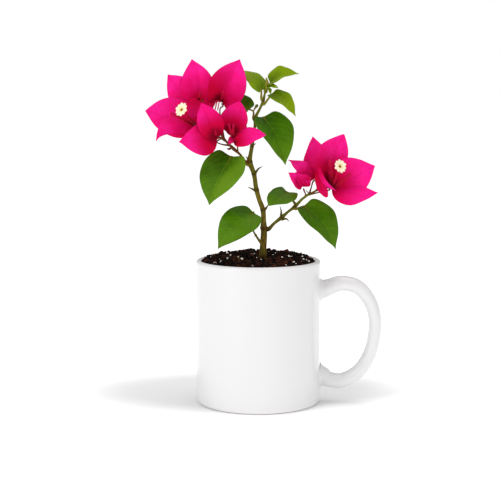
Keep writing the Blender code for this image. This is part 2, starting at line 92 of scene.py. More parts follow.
def round_body(rings, first_pole, last_pole, **fields):
    """A closed skin over rings of points, (rows, sides, 3), with a pole at each end.

    Each ring runs anticlockwise seen from the last pole, so the faces point outwards. A field
    holds one value for each point of the rings, and a pole takes the mean of its ring.
    """
    rows, sides = rings.shape[:2]
    index = np.arange(rows * sides).reshape(rows, sides)
    across = np.roll(index, -1, axis=1)
    quads = np.stack([index[:-1], across[:-1], across[1:], index[1:]], axis=-1).reshape(-1, 4)
    first, last = rows * sides, rows * sides + 1
    starts = np.stack([np.full(sides, first), across[0], index[0]], axis=-1)
    ends = np.stack([np.full(sides, last), index[-1], across[-1]], axis=-1)
    values = {}
    for field, grid in fields.items():
        grid = np.broadcast_to(grid, (rows, sides))
        values[field] = np.concatenate([grid.ravel(), [grid[0].mean(), grid[-1].mean()]])
    return {
        "points": np.vstack([rings.reshape(-1, 3), first_pole, last_pole]),
        "quads": quads,
        "triangles": np.vstack([starts, ends]),
        "fields": values,
    }


def join_shapes(shapes):
    """Several shapes as one list of points, with each shape's faces moved on to its own points."""
    counts = [len(shape["points"]) for shape in shapes]
    starts = np.cumsum([0] + counts[:-1])
    joined = {"points": np.vstack([shape["points"] for shape in shapes])}
    for kind in ("quads", "triangles"):
        joined[kind] = np.vstack([shape[kind] + start for shape, start in zip(shapes, starts)])
    names = set().union(*(shape["fields"] for shape in shapes))
    joined["fields"] = {
        name: np.concatenate([shape["fields"].get(name, np.zeros(count))
                              for shape, count in zip(shapes, counts)])
        for name in sorted(names)
    }
    return joined


# %% From a shape to a piece
def put_in_scene(name, data):
    """An object that holds the data, linked to the scene's own collection."""
    thing = bpy.data.objects.new(name, data)
    bpy.context.scene.collection.objects.link(thing)
    return thing


def make_piece(name, shape, finish, node):
    """A mesh object at the origin, in metres, that rides on the plant and hides its solid."""
    mesh = bpy.data.meshes.new(name)
    faces = shape["quads"].tolist() + shape["triangles"].tolist()
    mesh.from_pydata((shape["points"] * MM).tolist(), [], faces)
    mesh.shade_smooth()
    for field, values in shape["fields"].items():
        stored = mesh.attributes.new(field, "FLOAT", "POINT")
        stored.data.foreach_set("value", values.astype(np.float32))
    mesh.materials.append(finish)
    piece = put_in_scene(name, mesh)
    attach(piece, "root")
    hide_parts(node)
    triangles = 2 * len(shape["quads"]) + len(shape["triangles"])
    print(f"{name}: {len(shape['points'])} points, {triangles} triangles")
    return piece


# %% [markdown]
# ## Materials
#
# Colours are written as the hex values that a paint card or a screen shows. Shaders work in
# linear light, so one function turns them. A second one adds a node with its settings and its
# links, which keeps each material readable as a short recipe.


# %% Colours and nodes
def linear(hex_colour):
    """An sRGB hex colour as linear red, green, blue and an alpha of 1."""
    channels = np.array([int(hex_colour[i:i + 2], 16) for i in (0, 2, 4)]) / 255
    lit = np.where(channels <= 0.04045, channels / 12.92, ((channels + 0.055) / 1.055) ** 2.4)
    return (*lit.tolist(), 1.0)


def new_material(name, colour, roughness, ior=1.45, **uniform):
    """A Principled material; uniform gives further sockets, with _ for a space in their names."""
    material = bpy.data.materials.new(name)
    material.use_nodes = True
    shader = material.node_tree.nodes["Principled BSDF"]
    settings = {"Base Color": linear(colour), "Roughness": roughness, "IOR": ior, "Metallic": 0.0}
    settings.update({key.replace("_", " "): value for key, value in uniform.items()})
    for socket, value in settings.items():
        shader.inputs[socket].default_value = value
    return material, shader


def add_node(owner, kind, inputs, output=0, **settings):
    """Adds a node to a material or a world and returns one of its outputs.

    inputs maps a socket's name or number to a value or to a socket to link.
    """
    node = owner.node_tree.nodes.new("ShaderNode" + kind)
    for key, value in settings.items():
        setattr(node, key, value)
    for key, value in inputs.items():
        if isinstance(value, bpy.types.NodeSocket):
            owner.node_tree.links.new(value, node.inputs[key])
        else:
            node.inputs[key].default_value = value
    return node.outputs[output]


def connect(node, **sockets):
    """Links sockets to a node's inputs, with _ for a space in their names."""
    for name, socket in sockets.items():
        node.id_data.links.new(socket, node.inputs[name.replace("_", " ")])


# %% [markdown]
# ### Layers of colour and a fine relief
#
# Nearly every finish here is one base colour with others laid over it, each where some value is
# high: a field kept on the skin, or a pattern. They could be wired up one by one in each
# material. A list of layers says the same in one line each, in the order they are laid.

# %% Layers and relief
MIX_FACTOR, MIX_A, MIX_B, MIX_RESULT = 0, 6, 7, 2  # sockets of a Mix node that mixes colours


def lay_colours(material, shader, layers):
    """Lays colours over the base colour, each covering more as its value goes from low to high.

    A layer is a field's name or a socket, low, high, the most that it covers, and the colour.
    """
    colour = tuple(shader.inputs["Base Color"].default_value)
    for value, low, high, most, over in layers:
        if isinstance(value, str):
            value = add_node(material, "Attribute", {}, "Fac", attribute_name=value)
        cover = add_node(material, "MapRange",
                         {"Value": value, "From Min": low, "From Max": high, "To Max": most})
        colour = add_node(material, "Mix",
                          {MIX_FACTOR: cover, MIX_A: colour, MIX_B: linear(over)}, MIX_RESULT,
                          data_type="RGBA")
    connect(shader, Base_Color=colour)


def noise_relief(material, shader, grain, height, strength=1.0, detail=3.0):
    """Noise as a bump, with grains of a real size and height, both in millimetres."""
    place = add_node(material, "TexCoord", {}, "Object")
    noise = add_node(material, "TexNoise",
                     {"Vector": place, "Scale": 1 / (grain * MM), "Detail": detail})
    bump = add_node(material, "Bump",
                    {"Height": noise, "Strength": strength, "Distance": height * MM})
    connect(shader, Normal=bump)


# %% [markdown]
# ## The mug
#
# A straight stoneware mug is pressed and turned on a wheel head, its cast handle is stuck on
# with slip, and the whole is dipped in white glaze. The glaze is wiped off the foot ring, which
# stays dull and sandy. The body could be a curve with a Screw modifier. A profile of arcs turned
# in numpy gives the same skin, and it also knows which of its rings are bare clay.

# %% Turning a profile
LIP_RADIUS = 1.7
FOOT_RADIUS = 37.4
FOOT_HEIGHT = 0.9
FOOT_ROUND = 2.6
FOOT_RING = 4.0  # width of the ring it stands on
FOOT_BEVEL = 0.8  # width of the slope from the underside to the foot ring
UNDER_RING = 8.0  # how far inside the foot ring the underside's first ring lies
UNDER_RECESS = 0.7  # how far the underside lies above the foot ring's edge
INNER_ROUND = 9.0
MUG_FLOOR = 6.0
MUG_SIDES = 160


def arc(centre_r, centre_z, radius, start, end, steps=9):
    """Radius and height along an arc of a profile: centre + radius (cos a, sin a), in degrees."""
    angles = np.radians(np.linspace(start, end, steps))
    return [(centre_r + radius * math.cos(a), centre_z + radius * math.sin(a)) for a in angles]


def turned(profile, sides):
    """Rings of a profile of radius r and height z turned about Z: (r cos a, r sin a, z)."""
    turn = around(sides)
    radius, height = np.asarray(profile, float).T[..., None]
    flat = np.broadcast_arrays(radius * np.cos(turn), radius * np.sin(turn), height)
    return np.stack(flat, axis=-1)


# %% The mug's wall
def mug_body():
    """The wall from the middle of the underside, out, up, over the lip and down to the floor."""
    lip = MUG_HEIGHT - LIP_RADIUS
    ring_in = FOOT_RADIUS - FOOT_RING
    profile = [(ring_in - UNDER_RING, UNDER_RECESS), (ring_in - FOOT_BEVEL, UNDER_RECESS)]
    profile += [(ring_in, 0.1)]
    profile += [(ring_in + 0.3, 0.0), (FOOT_RADIUS - 0.2, 0.0), (FOOT_RADIUS, 0.15)]
    profile += [(FOOT_RADIUS + 0.3, FOOT_HEIGHT)]
    profile += arc(MUG_RADIUS - FOOT_ROUND, FOOT_HEIGHT + FOOT_ROUND, FOOT_ROUND, -82, 0)
    profile += [(MUG_RADIUS, height) for height in np.linspace(6.0, lip - 2.0, 24)]
    profile += arc(MUG_RADIUS - LIP_RADIUS, lip, LIP_RADIUS, 0, 90)
    profile += arc(INNER_RADIUS + LIP_RADIUS, lip, LIP_RADIUS, 90, 180)
    profile += [(INNER_RADIUS, height) for height in np.linspace(lip - 2.0, 16.0, 12)]
    profile += arc(INNER_RADIUS - INNER_ROUND, MUG_FLOOR + INNER_ROUND, INNER_ROUND, 0, -90)
    radius, height = np.array(profile).T
    bare = (radius > ring_in - 0.1) & (height < FOOT_HEIGHT / 2)
    poles = (0.0, 0.0, UNDER_RECESS), (0.0, 0.0, MUG_FLOOR)
    return round_body(turned(profile, MUG_SIDES), *poles, bare=bare[:, None].astype(float))


# %% [markdown]
# ### The handle
#
# A handle is a bar bent to a C, oval in section, that flows into the wall through a small round
# of slip. It could be a curve with a bevel, but the round where it joins would then be missing.
# Here each ring of the sweep swells as it nears the wall by a quarter circle, so that the two
# skins meet without a crease.


# %% Sweeping rings along a path
def smooth(rows, step):
    """A Catmull-Rom curve through rows of x, y, z and sizes, with a point about every step."""
    rows = np.asarray(rows, float)
    padded = np.vstack([2 * rows[0] - rows[1], rows, 2 * rows[-1] - rows[-2]])
    path = []
    for a, b, c, d in zip(padded, padded[1:], padded[2:], padded[3:]):
        spans = max(1, round(np.linalg.norm((c - b)[:3]) / step))
        t = np.arange(spans)[:, None] / spans
        path.append(0.5 * (2 * b + (c - a) * t + (2 * a - 5 * b + 4 * c - d) * t**2
                           + (3 * b - a - 3 * c + d) * t**3))
    return np.vstack(path + [rows[-1:]])


def path_frames(path, across=None):
    """The tangent of each row of a path and two directions square to it, first and second."""
    tangent = unit(np.gradient(path[:, :3], axis=0))
    if across is None:
        across = np.eye(3)[np.abs(tangent).max(axis=0).argmin()]
    second = unit(across - tangent * (tangent @ across)[:, None])
    return tangent, np.cross(second, tangent), second


def path_rings(path, sides, across=None, relief=0.0):
    """Rings of centre + (1 + relief) (d/2 cos a first + w/2 sin a second).

    A row holds x, y, z, the diameter d and, for an oval, the width w along across.
    """
    _, first, second = path_frames(path, across)
    turn = around(sides)
    wide = path[:, -1]
    spokes = (np.cos(turn)[:, None] * (path[:, 3, None] / 2 * first)[:, None]
              + np.sin(turn)[:, None] * (wide[:, None] / 2 * second)[:, None])
    grown = 1.0 + np.broadcast_to(relief, (len(path), sides))
    return path[:, None, :3] + spokes * grown[..., None]


def tube_shape(path, sides, across=None, relief=0.0, **fields):
    """A closed tube along a path, with a slightly domed end."""
    tangent = path_frames(path, across)[0]
    ends = path[0, :3], path[-1, :3] + tangent[-1] * path[-1, 3] * 0.3
    return round_body(path_rings(path, sides, across, relief), *ends, **fields)


# %% The mug's handle
HANDLE = [  # x, y, z of the centre line, then the thickness and the width
    (38.8, 0, 75.2, 13.2, 15.0), (42.8, 0, 75.9, 12.2, 13.8), (47.0, 0, 77.3, 10.8, 12.6),
    (55.0, 0, 79.6, 10.2, 12.0),
    (65.5, 0, 77.2, 9.6, 11.8), (73.3, 0, 68.3, 8.9, 11.6), (77.0, 0, 57.0, 8.6, 11.6),
    (76.7, 0, 44.0, 8.6, 11.6), (73.6, 0, 31.5, 8.8, 11.6), (66.6, 0, 20.6, 9.2, 11.8),
    (56.0, 0, 14.5, 9.6, 12.0), (47.0, 0, 15.0, 10.3, 12.4), (42.8, 0, 17.2, 12.4, 13.6),
    (38.8, 0, 18.8, 14.0, 15.0),
]
HANDLE_FILLET = 2.4  # radius of the round of slip where it joins the wall
HANDLE_STEP, HANDLE_SIDES = 1.0, 48


def mug_handle():
    """The swept bar; a point at distance e from the wall moves out by f - sqrt(f^2 - (f - e)^2).

    It moves along the wall, so its distance from the wall stays the same.
    """
    path = smooth(HANDLE, HANDLE_STEP)
    rings = path_rings(path, HANDLE_SIDES, across=(0.0, 1.0, 0.0))
    away = np.hypot(rings[..., 0], rings[..., 1]) - MUG_RADIUS
    near = HANDLE_FILLET - np.clip(away, 0.0, HANDLE_FILLET)
    swell = HANDLE_FILLET - np.sqrt(HANDLE_FILLET**2 - near**2)
    outward = unit(rings - path[:, None, :3])
    radial = unit(rings * (1.0, 1.0, 0.0))
    outward = outward - radial * (outward * radial).sum(axis=-1, keepdims=True)
    rings = rings + outward * swell[..., None]
    return round_body(rings, rings[0].mean(axis=0), rings[-1].mean(axis=0))


# %% [markdown]
# ### White glaze
#
# Glazed stoneware: the glaze is a layer of glass over a white body, fired smooth, so it has the
# IOR of glass and low roughness, and takes soft reflections with no colour of their own. Fired
# glaze is never quite flat: it keeps long low waves a few millimetres across. The wiped foot is
# biscuit-fired clay, warm grey and rough.

# %% Glaze material
GLAZE_WAVE = 9.0  # millimetres from one low wave of the glaze to the next
GLAZE_WAVE_HEIGHT = 0.3
GLAZE_ROUGHNESS, CLAY_ROUGHNESS = 0.14, 0.85
WALL_EDGE = 55  # degrees between faces from which an edge of the mug is sharp


def make_glaze():
    """White glass over the body, and bare clay where the field bare is 1."""
    material, shader = new_material("glazed_stoneware", "E3E2E3", GLAZE_ROUGHNESS, ior=1.5)
    lay_colours(material, shader, [("bare", 0.0, 1.0, 1.0, "B9B4AE")])
    noise_relief(material, shader, GLAZE_WAVE, GLAZE_WAVE_HEIGHT, strength=0.12, detail=1.0)
    bare = add_node(material, "Attribute", {}, "Fac", attribute_name="bare")
    rough = add_node(material, "MapRange",
                     {"Value": bare, "To Min": GLAZE_ROUGHNESS, "To Max": CLAY_ROUGHNESS})
    connect(shader, Roughness=rough)
    return material


glaze = make_glaze()
mug = make_piece("mug_wall", mug_body(), glaze, "mug")
mug.data.set_sharp_from_angle(angle=math.radians(WALL_EDGE))
make_piece("mug_handle", mug_handle(), glaze, "mug")

# %% [markdown]
# ## Potting mix
#
# Peat-based mix is dark fibrous crumbs with white grains of perlite, a puffed glass that keeps
# it airy, and reddish scraps of composted bark. A displaced disc would be quick, but it would
# look like tar. Here a lumpy ground carries thousands of separate crumbs, each a rough ball of
# 36 triangles, whose outlines stand up against the white rim behind them.

# %% The ground under the crumbs
STEM_FOOT = (3.1, 0.0)
MIX_EDGE = 94.2  # height at the mug's wall
MIX_FLAT = 95.2  # height under the stem's foot
MIX_CROWN = 0.5
MIX_TILT = 0.9  # how much higher it lies at the back edge
MIX_LUMP = 0.75
MIX_LEVEL = 7.6  # radius of the level patch round the stem
MIX_SLOPE = 6.0  # distance over which the patch and the wall's edge rise to the lumps
GROUND_SUNK = 0.5  # how far the ground lies below the height that carries the crumbs


def mix_height(x, y):
    """Height of the mix: crossed sine lumps, higher at the back, level round the stem."""
    lumps = np.sin(0.62 * x + 1.3) * np.sin(0.55 * y + 0.4) + 0.6 * np.sin(0.37 * x - 0.49 * y)
    inside = np.clip((INNER_RADIUS - np.hypot(x, y)) / MIX_SLOPE, 0.0, 1.0)
    rough = MIX_FLAT + MIX_CROWN + MIX_LUMP * lumps + MIX_TILT * y / INNER_RADIUS
    rough = MIX_EDGE + (rough - MIX_EDGE) * inside
    off_foot = np.hypot(x - STEM_FOOT[0], y - STEM_FOOT[1]) - MIX_LEVEL
    return MIX_FLAT + (rough - MIX_FLAT) * np.clip(off_foot / MIX_SLOPE, 0.0, 1.0)


def mix_plug(sides=144, rings=60):
    """The plug of mix: a turned side and underside, then rings that shrink over its top.

    The top follows mix_height, with two finer crossed sine lumps on it.
    """
    wall = INNER_RADIUS - CLEAR
    low = MUG_FLOOR + 2 * CLEAR
    side = arc(wall - INNER_ROUND, low + INNER_ROUND, INNER_ROUND, -90, 0, 7)[1:]
    side += [(wall, height) for height in (40.0, 70.0, 90.0)]
    turn = around(sides)
    radius = np.linspace(wall, wall / rings, rings)[:, None]
    x, y = radius * np.cos(turn), radius * np.sin(turn)
    fine = 0.35 * np.sin(2.3 * x + 1.1 * y) * np.sin(2.7 * y - 0.6 * x)
    fine += 0.2 * np.sin(4.9 * x - 2.2 * y) * np.sin(4.1 * y + 1.7 * x)
    top = np.stack([x, y, mix_height(x, y) + fine - GROUND_SUNK], axis=-1)
    centre = (0.0, 0.0, float(mix_height(0.0, 0.0)) - GROUND_SUNK)
    return round_body(np.vstack([turned(side, sides), top]), (0.0, 0.0, low), centre)


# %% Scattering small shapes
def ball(rows, sides):
    """A ball of radius 1: rings at even latitudes between its two poles."""
    tilt = math.pi * (np.arange(1, rows + 1) / (rows + 1) - 0.5)
    return round_body(turned(np.stack([np.cos(tilt), np.sin(tilt)], 1), sides), (0, 0, -1), (0, 0, 1))


def random_turns(rng, count):
    """Rotations drawn evenly: the square matrix of a QR split, with mirrored ones turned over."""
    turns = np.linalg.qr(rng.normal(size=(count, 3, 3)))[0]
    return turns * np.linalg.det(turns)[:, None, None]


def copies(pattern, centres, sizes, turns, roughen, rng, **fields):
    """Copies of a shape: centre + turn (size * point), each point moved in or out by chance."""
    count, points = len(centres), pattern["points"]
    grown = points * (1.0 + roughen * rng.uniform(-1, 1, (count, len(points), 1)))
    placed = centres[:, None] + np.einsum("nij,npj->npi", turns, grown * sizes[:, None])
    starts = np.arange(count)[:, None, None] * len(points)
    return {
        "points": placed.reshape(-1, 3),
        "quads": (pattern["quads"] + starts).reshape(-1, 4),
        "triangles": (pattern["triangles"] + starts).reshape(-1, 3),
        "fields": {name: np.repeat(values, len(points)) for name, values in fields.items()},
    }


def on_the_mix(rng, count, edge):
    """Random places on the mix, evenly over a disc that keeps the edge distance from the wall."""
    radius = (INNER_RADIUS - edge) * np.sqrt(rng.random(count))
    angle = rng.random(count) * math.tau
    x, y = radius * np.cos(angle), radius * np.sin(angle)
    return np.stack([x, y, mix_height(x, y)], axis=1)


# %% Crumbs, grains and scraps
HEAP = 0.2  # how much higher the crumbs lie against the back of the rim
HEAP_FROM, HEAP_RUN = 14.0, 18.0  # how far back they start to rise, and over what distance
CRUMB_SMALL, CRUMB_RANGE = 0.45, 1.35  # the smallest radius, and how much the largest adds
CRUMB_BIAS = 2.4  # a higher power makes more of the crumbs small
GRAIN_LEAST, GRAIN_MOST = 0.5, 1.0  # radii of perlite
SCRAP_LEAST, SCRAP_MOST = 1.0, 2.3  # half lengths of bark
SCRAP_FORM = (1.0, 0.38, 0.2)  # length, width and thickness against the half length


def scatter(seed, count, edge):
    """A random source and places on the mix, lifted near the back rim.

    The lift is HEAP times a smooth step of the distance back.
    """
    rng = np.random.default_rng(seed)
    places = on_the_mix(rng, count, edge)
    far = np.clip((places[:, 1] - HEAP_FROM) / HEAP_RUN, 0.0, 1.0)
    places[:, 2] += HEAP * far * far * (3.0 - 2.0 * far)
    return rng, places


def peat_crumbs(count=4300, seed=11):
    """Rough balls, mostly small, some sunk by a third of their size and some lying on top."""
    rng, places = scatter(seed, count, 1.0)
    size = CRUMB_SMALL + CRUMB_RANGE * rng.random(count) ** CRUMB_BIAS
    places[:, 2] += size * rng.uniform(-0.35, 0.7, count)
    stretch = size[:, None] * rng.uniform(0.75, 1.2, (count, 3))
    return copies(ball(3, 6), places, stretch, random_turns(rng, count), 0.22, rng,
                  tone=rng.random(count))


def perlite_grains(count=150, seed=5):
    """Puffed grains: angular balls that lie on top of the crumbs."""
    rng, places = scatter(seed, count, 2.5)
    size = rng.uniform(GRAIN_LEAST, GRAIN_MOST, count)
    places[:, 2] += size * 0.9
    stretch = size[:, None] * rng.uniform(0.8, 1.15, (count, 3))
    return copies(ball(4, 8), places, stretch, random_turns(rng, count), 0.12, rng,
                  tone=rng.random(count))


def bark_scraps(count=190, seed=23):
    """Flat slivers of composted bark, about three times as long as wide."""
    rng, places = scatter(seed, count, 2.0)
    long = rng.uniform(SCRAP_LEAST, SCRAP_MOST, count)
    places[:, 2] += 0.5
    stretch = long[:, None] * np.array(SCRAP_FORM)
    lean = rng.uniform(-0.5, 0.5, (count, 2))
    spin = rng.random(count) * math.tau
    first = unit(np.stack([np.cos(spin), np.sin(spin), lean[:, 0]], axis=1))
    third = unit(np.cross(first, np.stack([-np.sin(spin), np.cos(spin), lean[:, 1]], axis=1)))
    turns = np.stack([first, np.cross(third, first), third], axis=-1)
    return copies(ball(3, 6), places, stretch, turns, 0.2, rng, tone=rng.random(count))


# %% [markdown]
# ### Peat, perlite and bark scraps
#
# Damp peat is nearly black, with brown where it dries, and quite dull. Its crumbs differ, so each
# one carries a random tone that a colour ramp turns into one of the browns. Perlite is a chalky
# white foam of glass that lets a little light in. Composted bark is redder than peat.


# %% Materials of the mix
def make_mix_material(name, colours, roughness, grain, height):
    """A ramp of evenly spaced colours, read at each small shape's own tone, on a rough skin."""
    material, shader = new_material(name, colours[0], roughness, Specular_IOR_Level=0.1)
    tone = add_node(material, "Attribute", {}, "Fac", attribute_name="tone")
    ramp = add_node(material, "ValToRGB", {"Fac": tone}, "Color")
    stops = ramp.node.color_ramp.elements
    for i, colour in enumerate(colours):
        at = i / (len(colours) - 1)
        stop = stops[i] if i < 2 else stops.new(at)  # a new ramp already has two stops
        stop.position, stop.color = at, linear(colour)
    connect(shader, Base_Color=ramp)
    noise_relief(material, shader, grain, height)
    return material


peat = make_mix_material("damp_peat", ["060202", "0D0502", "180904", "4A2413"], 0.8, 0.6, 0.25)
perlite = make_mix_material("perlite_foam", ["F0E8DE", "FCF8F2", "FFFFFA"], 0.75, 0.5, 0.15)
scrap = make_mix_material("composted_bark", ["3A1508", "5C2610", "82401F"], 0.8, 0.7, 0.2)
for name, shape, finish in (("mix_ground", mix_plug(), peat),
                            ("peat_crumbs", peat_crumbs(), peat),
                            ("perlite_grains", perlite_grains(), perlite),
                            ("bark_scraps", bark_scraps(), scrap)):
    make_piece(name, shape, finish, "potting_mix")

# %% [markdown]
# ## Stem, branch and flower stalk
#
# A bougainvillea's young wood is a thin zigzag that bends at each node, where a leaf and a
# hooked thorn sit. Its bark is olive brown, furrowed lengthwise, greener towards the tip. A
# Skin modifier could thicken a line of edges, but a ring swept along a smooth curve lets the
# furrows be part of the surface.

# %% The wood's centre lines
STEM = [  # x, y, z and the diameter there
    (3.1, 0.0, MIX_FLAT + CLEAR, 5.8), (3.1, 0.0, 98.0, 4.9), (3.1, 0.0, 103.1, 4.5),
    (3.7, 0.2, 112.3, 4.2), (3.5, 0.2, 116.5, 4.4), (3.4, 0.0, 120.5, 3.6),
    (3.0, -0.3, 128.2, 3.3), (0.4, 0.0, 135.4, 3.1), (-1.6, 0.2, 143.3, 3.0),
    (-2.9, 0.0, 151.8, 2.9), (-5.7, -0.2, 159.6, 3.5), (-5.2, 0.0, 164.2, 2.7),
    (-4.2, 0.2, 170.1, 2.4), (-2.4, 0.0, 182.4, 1.9), (-2.0, -0.2, 188.3, 2.1),
    (1.3, 0.0, 195.1, 1.7), (3.2, 0.0, 199.8, 1.9), (4.2, 0.0, 204.4, 1.3), (5.4, 0.0, 207.4, 1.1),
]
BRANCH = [
    (10.5, -1.0, 119.6, 2.0), (15.4, -2.0, 123.6, 2.5), (19.5, -3.0, 127.4, 1.8),
    (24.0, -4.0, 131.0, 2.3), (28.8, -5.0, 136.1, 1.7), (34.3, -6.0, 140.1, 1.5),
]
STALK = [
    (-11.5, -3.0, 164.2, 1.5), (-15.9, -6.0, 168.4, 2.1), (-19.9, -8.2, 172.4, 1.5),
    (-22.6, -9.6, 175.4, 1.3),
]
BRANCH_SEAT, BRANCH_ROOT = 115.7, 3.0  # height on the stem and diameter where the branch leaves it
STALK_SEAT, STALK_ROOT = 160.4, 2.0
PEDICEL = 1.0
STEM_THORNS = [  # root, bend and tip, then the diameter at the root
    ((-2.5, 0.0, 151.5), (-0.1, -1.2, 155.2), (2.8, -2.2, 157.0), 1.5),
    ((-1.6, 0.0, 140.6), (-4.5, -0.8, 142.3), (-7.1, -1.2, 143.4), 1.4),
    ((-4.2, 0.0, 169.6), (-2.6, -0.9, 171.2), (-1.4, -1.3, 171.9), 1.0),
    ((-5.6, -0.2, 160.6), (-7.4, 1.2, 162.2), (-8.4, 1.8, 163.4), 1.1),
    ((2.9, -0.2, 127.0), (5.2, -0.7, 129.7), (6.6, -0.9, 132.0), 1.9),
    ((-1.3, 0.2, 112.0), (-2.2, -0.6, 111.2), (-3.0, -0.9, 110.4), 0.8),
]
STEM_BUDS = [  # centre line with diameters: a leaf bud in an axil
    [(-3.4, 2.5, 192.4, 0.7), (-2.2, 2.2, 194.6, 1.1), (-1.2, 2.0, 196.0, 2.1),
     (-0.5, 1.9, 196.9, 1.0)],
]
BRANCH_THORNS = [
    ((14.7, -2.0, 123.6), (14.9, -2.0, 127.6), (14.0, -2.0, 131.2), 1.4),
    ((15.3, -2.0, 122.2), (18.2, -3.4, 122.7), (20.2, -4.0, 121.0), 1.5),
]
STEM_NODES = [98.0, 116.5, 128.4, 141.4, 151.8, 159.8, 170.0, 188.3, 199.8]  # heights
BRANCH_NODES = [115.7, 123.6, 131.0, 139.9]
STALK_NODES = [160.4, 168.6, 175.4]
WOOD_STEP = 0.5  # millimetres from ring to ring
THORN_STEP, TWIG_STEP, TWIG_SIDES = 0.35, 0.3, 14
NODE_SWELL = 1.1  # how far from a node its swelling reaches
LIMB_SUNK, LIMB_COLLAR = 0.6, 1.3  # how far a limb starts inside the bark, and its first bend


# %% Furrowed wood
def wood_shape(rows, nodes, age, sides=28, furrow=0.035, swell=0.10, rose=0.0):
    """A stem along a smooth path, with furrows that wander round it and rings at its nodes.

    The skin lies at radius (1 + relief): the relief sums two sets of lengthwise waves, whose
    phase drifts with the height, and a swelling exp(-(dz/w)^2) at each node. The fields are the
    age, from old wood at 0 to green at 1, and the nearness of a node.
    """
    path = smooth(rows, WOOD_STEP)
    run = np.arange(len(path))[:, None] * WOOD_STEP
    turn = around(sides)
    relief = furrow * (np.sin(4 * turn + 1.3 * np.sin(run / 3.7)) * np.sin(run / 2.9 + 1.0)
                       + 0.7 * np.sin(9 * turn - 1.1 * np.sin(run / 2.1)))
    height = path[:, 2, None]
    near = sum(np.exp(-(((height - node) / NODE_SWELL) ** 2)) for node in nodes)
    relief = relief + swell * near * (1.0 + 0.35 * np.sin(3 * turn + height))
    ages = np.linspace(*age, len(path))[:, None]
    return tube_shape(path, sides, relief=relief, age=ages, node=np.clip(near, 0, 1), rose=rose)


def thorn_shape(root, bend, tip, width):
    """A hooked thorn: a tube that tapers along a smooth curve from its root to a sharp point."""
    rows = [(*root, width * 1.3), (*bend, width * 0.75), (*tip, width * 0.15)]
    path = smooth(rows, THORN_STEP)
    tip_dark = np.linspace(0.35, 0.9, len(path))[:, None]
    return tube_shape(path, TWIG_SIDES, age=0.45, node=tip_dark, rose=0.0)


def twig_shape(rows, age=0.5, rose=0.0):
    """A small tube along its own rows."""
    return tube_shape(smooth(rows, TWIG_STEP), TWIG_SIDES, age=age, node=0.2, rose=rose)


def beside(path, height, toward):
    """The point just clear of a stem's bark at a height, on the side that faces toward."""
    i = int(np.abs(path[:, 2] - height).argmin())
    along = unit(path[min(i + 1, len(path) - 1), :3] - path[max(i - 1, 0), :3])
    out = np.asarray(toward, float) - path[i, :3]
    out = unit(out - along * (out @ along))
    return path[i, :3] + out * (path[i, 3] / 2), out


def side_limb(stem, height, rows, root):
    """Rows of a limb that starts square to the stem's bark and follows its own rows."""
    start, out = beside(stem, height, rows[0][:3])
    inside = start - out * LIMB_SUNK
    collar = start + out * LIMB_COLLAR
    return [(*inside, root * 1.15), (*collar, root * 0.85), *rows]


stem_path = smooth(STEM, WOOD_STEP)
branch_rows = side_limb(stem_path, BRANCH_SEAT, BRANCH, BRANCH_ROOT)
stalk_rows = side_limb(stem_path, STALK_SEAT, STALK, STALK_ROOT)
branch_path, stalk_path = smooth(branch_rows, WOOD_STEP), smooth(stalk_rows, WOOD_STEP)
print(f"stem {len(stem_path)} rings, branch {len(branch_path)}, flower stalk {len(stalk_path)}")


# %% [markdown]
# ### Bark
#
# Young bark is a dull waxy skin: olive over brown, with darker furrows, a brown scar round each
# node and green where it is youngest. The furrows' streaks are noise stretched along the stem,
# about 0.5 mm across and 4 mm long. Flower stalks are flushed dark red.


# %% Bark material
STREAK, BARK_PATCH = 0.9, 4.0  # width of a streak and of a patch, in millimetres


def make_bark():
    """Streaks and patches over brown, then the fields: green with age, scars and a red tint."""
    material, shader = new_material("young_bark", "4C3208", 0.62, Specular_IOR_Level=0.15)
    place = add_node(material, "TexCoord", {}, "Object")
    stretched = add_node(material, "Mapping", {"Vector": place, "Scale": (1.0, 1.0, 0.16)})
    streaks = add_node(material, "TexNoise",
                       {"Vector": stretched, "Scale": 1 / (STREAK * MM), "Detail": 3.0})
    patches = add_node(material, "TexNoise",
                       {"Vector": place, "Scale": 1 / (BARK_PATCH * MM), "Detail": 2.0})
    lay_colours(material, shader, [
        (streaks, 0.42, 0.62, 1.0, "94752A"), (patches, 0.4, 0.65, 1.0, "665814"),
        ("age", 0.0, 1.0, 1.0, "667014"), ("node", 0.0, 1.0, 0.75, "3C2006"),
        ("rose", 0.0, 1.0, 0.9, "6A2416")])
    bump = add_node(material, "Bump", {"Height": streaks, "Strength": 0.8, "Distance": 0.25 * MM})
    connect(shader, Normal=bump)
    return material


bark = make_bark()
stem_parts = [wood_shape(STEM, STEM_NODES, (0.0, 0.95))]
stem_parts += [thorn_shape(*row) for row in STEM_THORNS]
stem_parts += [twig_shape(rows, age=0.7) for rows in STEM_BUDS]
make_piece("stem_bark", join_shapes(stem_parts), bark, "stem_main")

# %% [markdown]
# ## One blade for leaves and bracts
#
# A bougainvillea leaf is a heart drawn out to a point, a little folded along its midrib. A
# bract is a leaf too, only thin and coloured. Either could be cut from a plane by hand, but one
# formula gives both: a half width that grows as a power of the distance from the base and
# shrinks as a power of the distance to the tip, on a midrib that may arch, bow and sway.

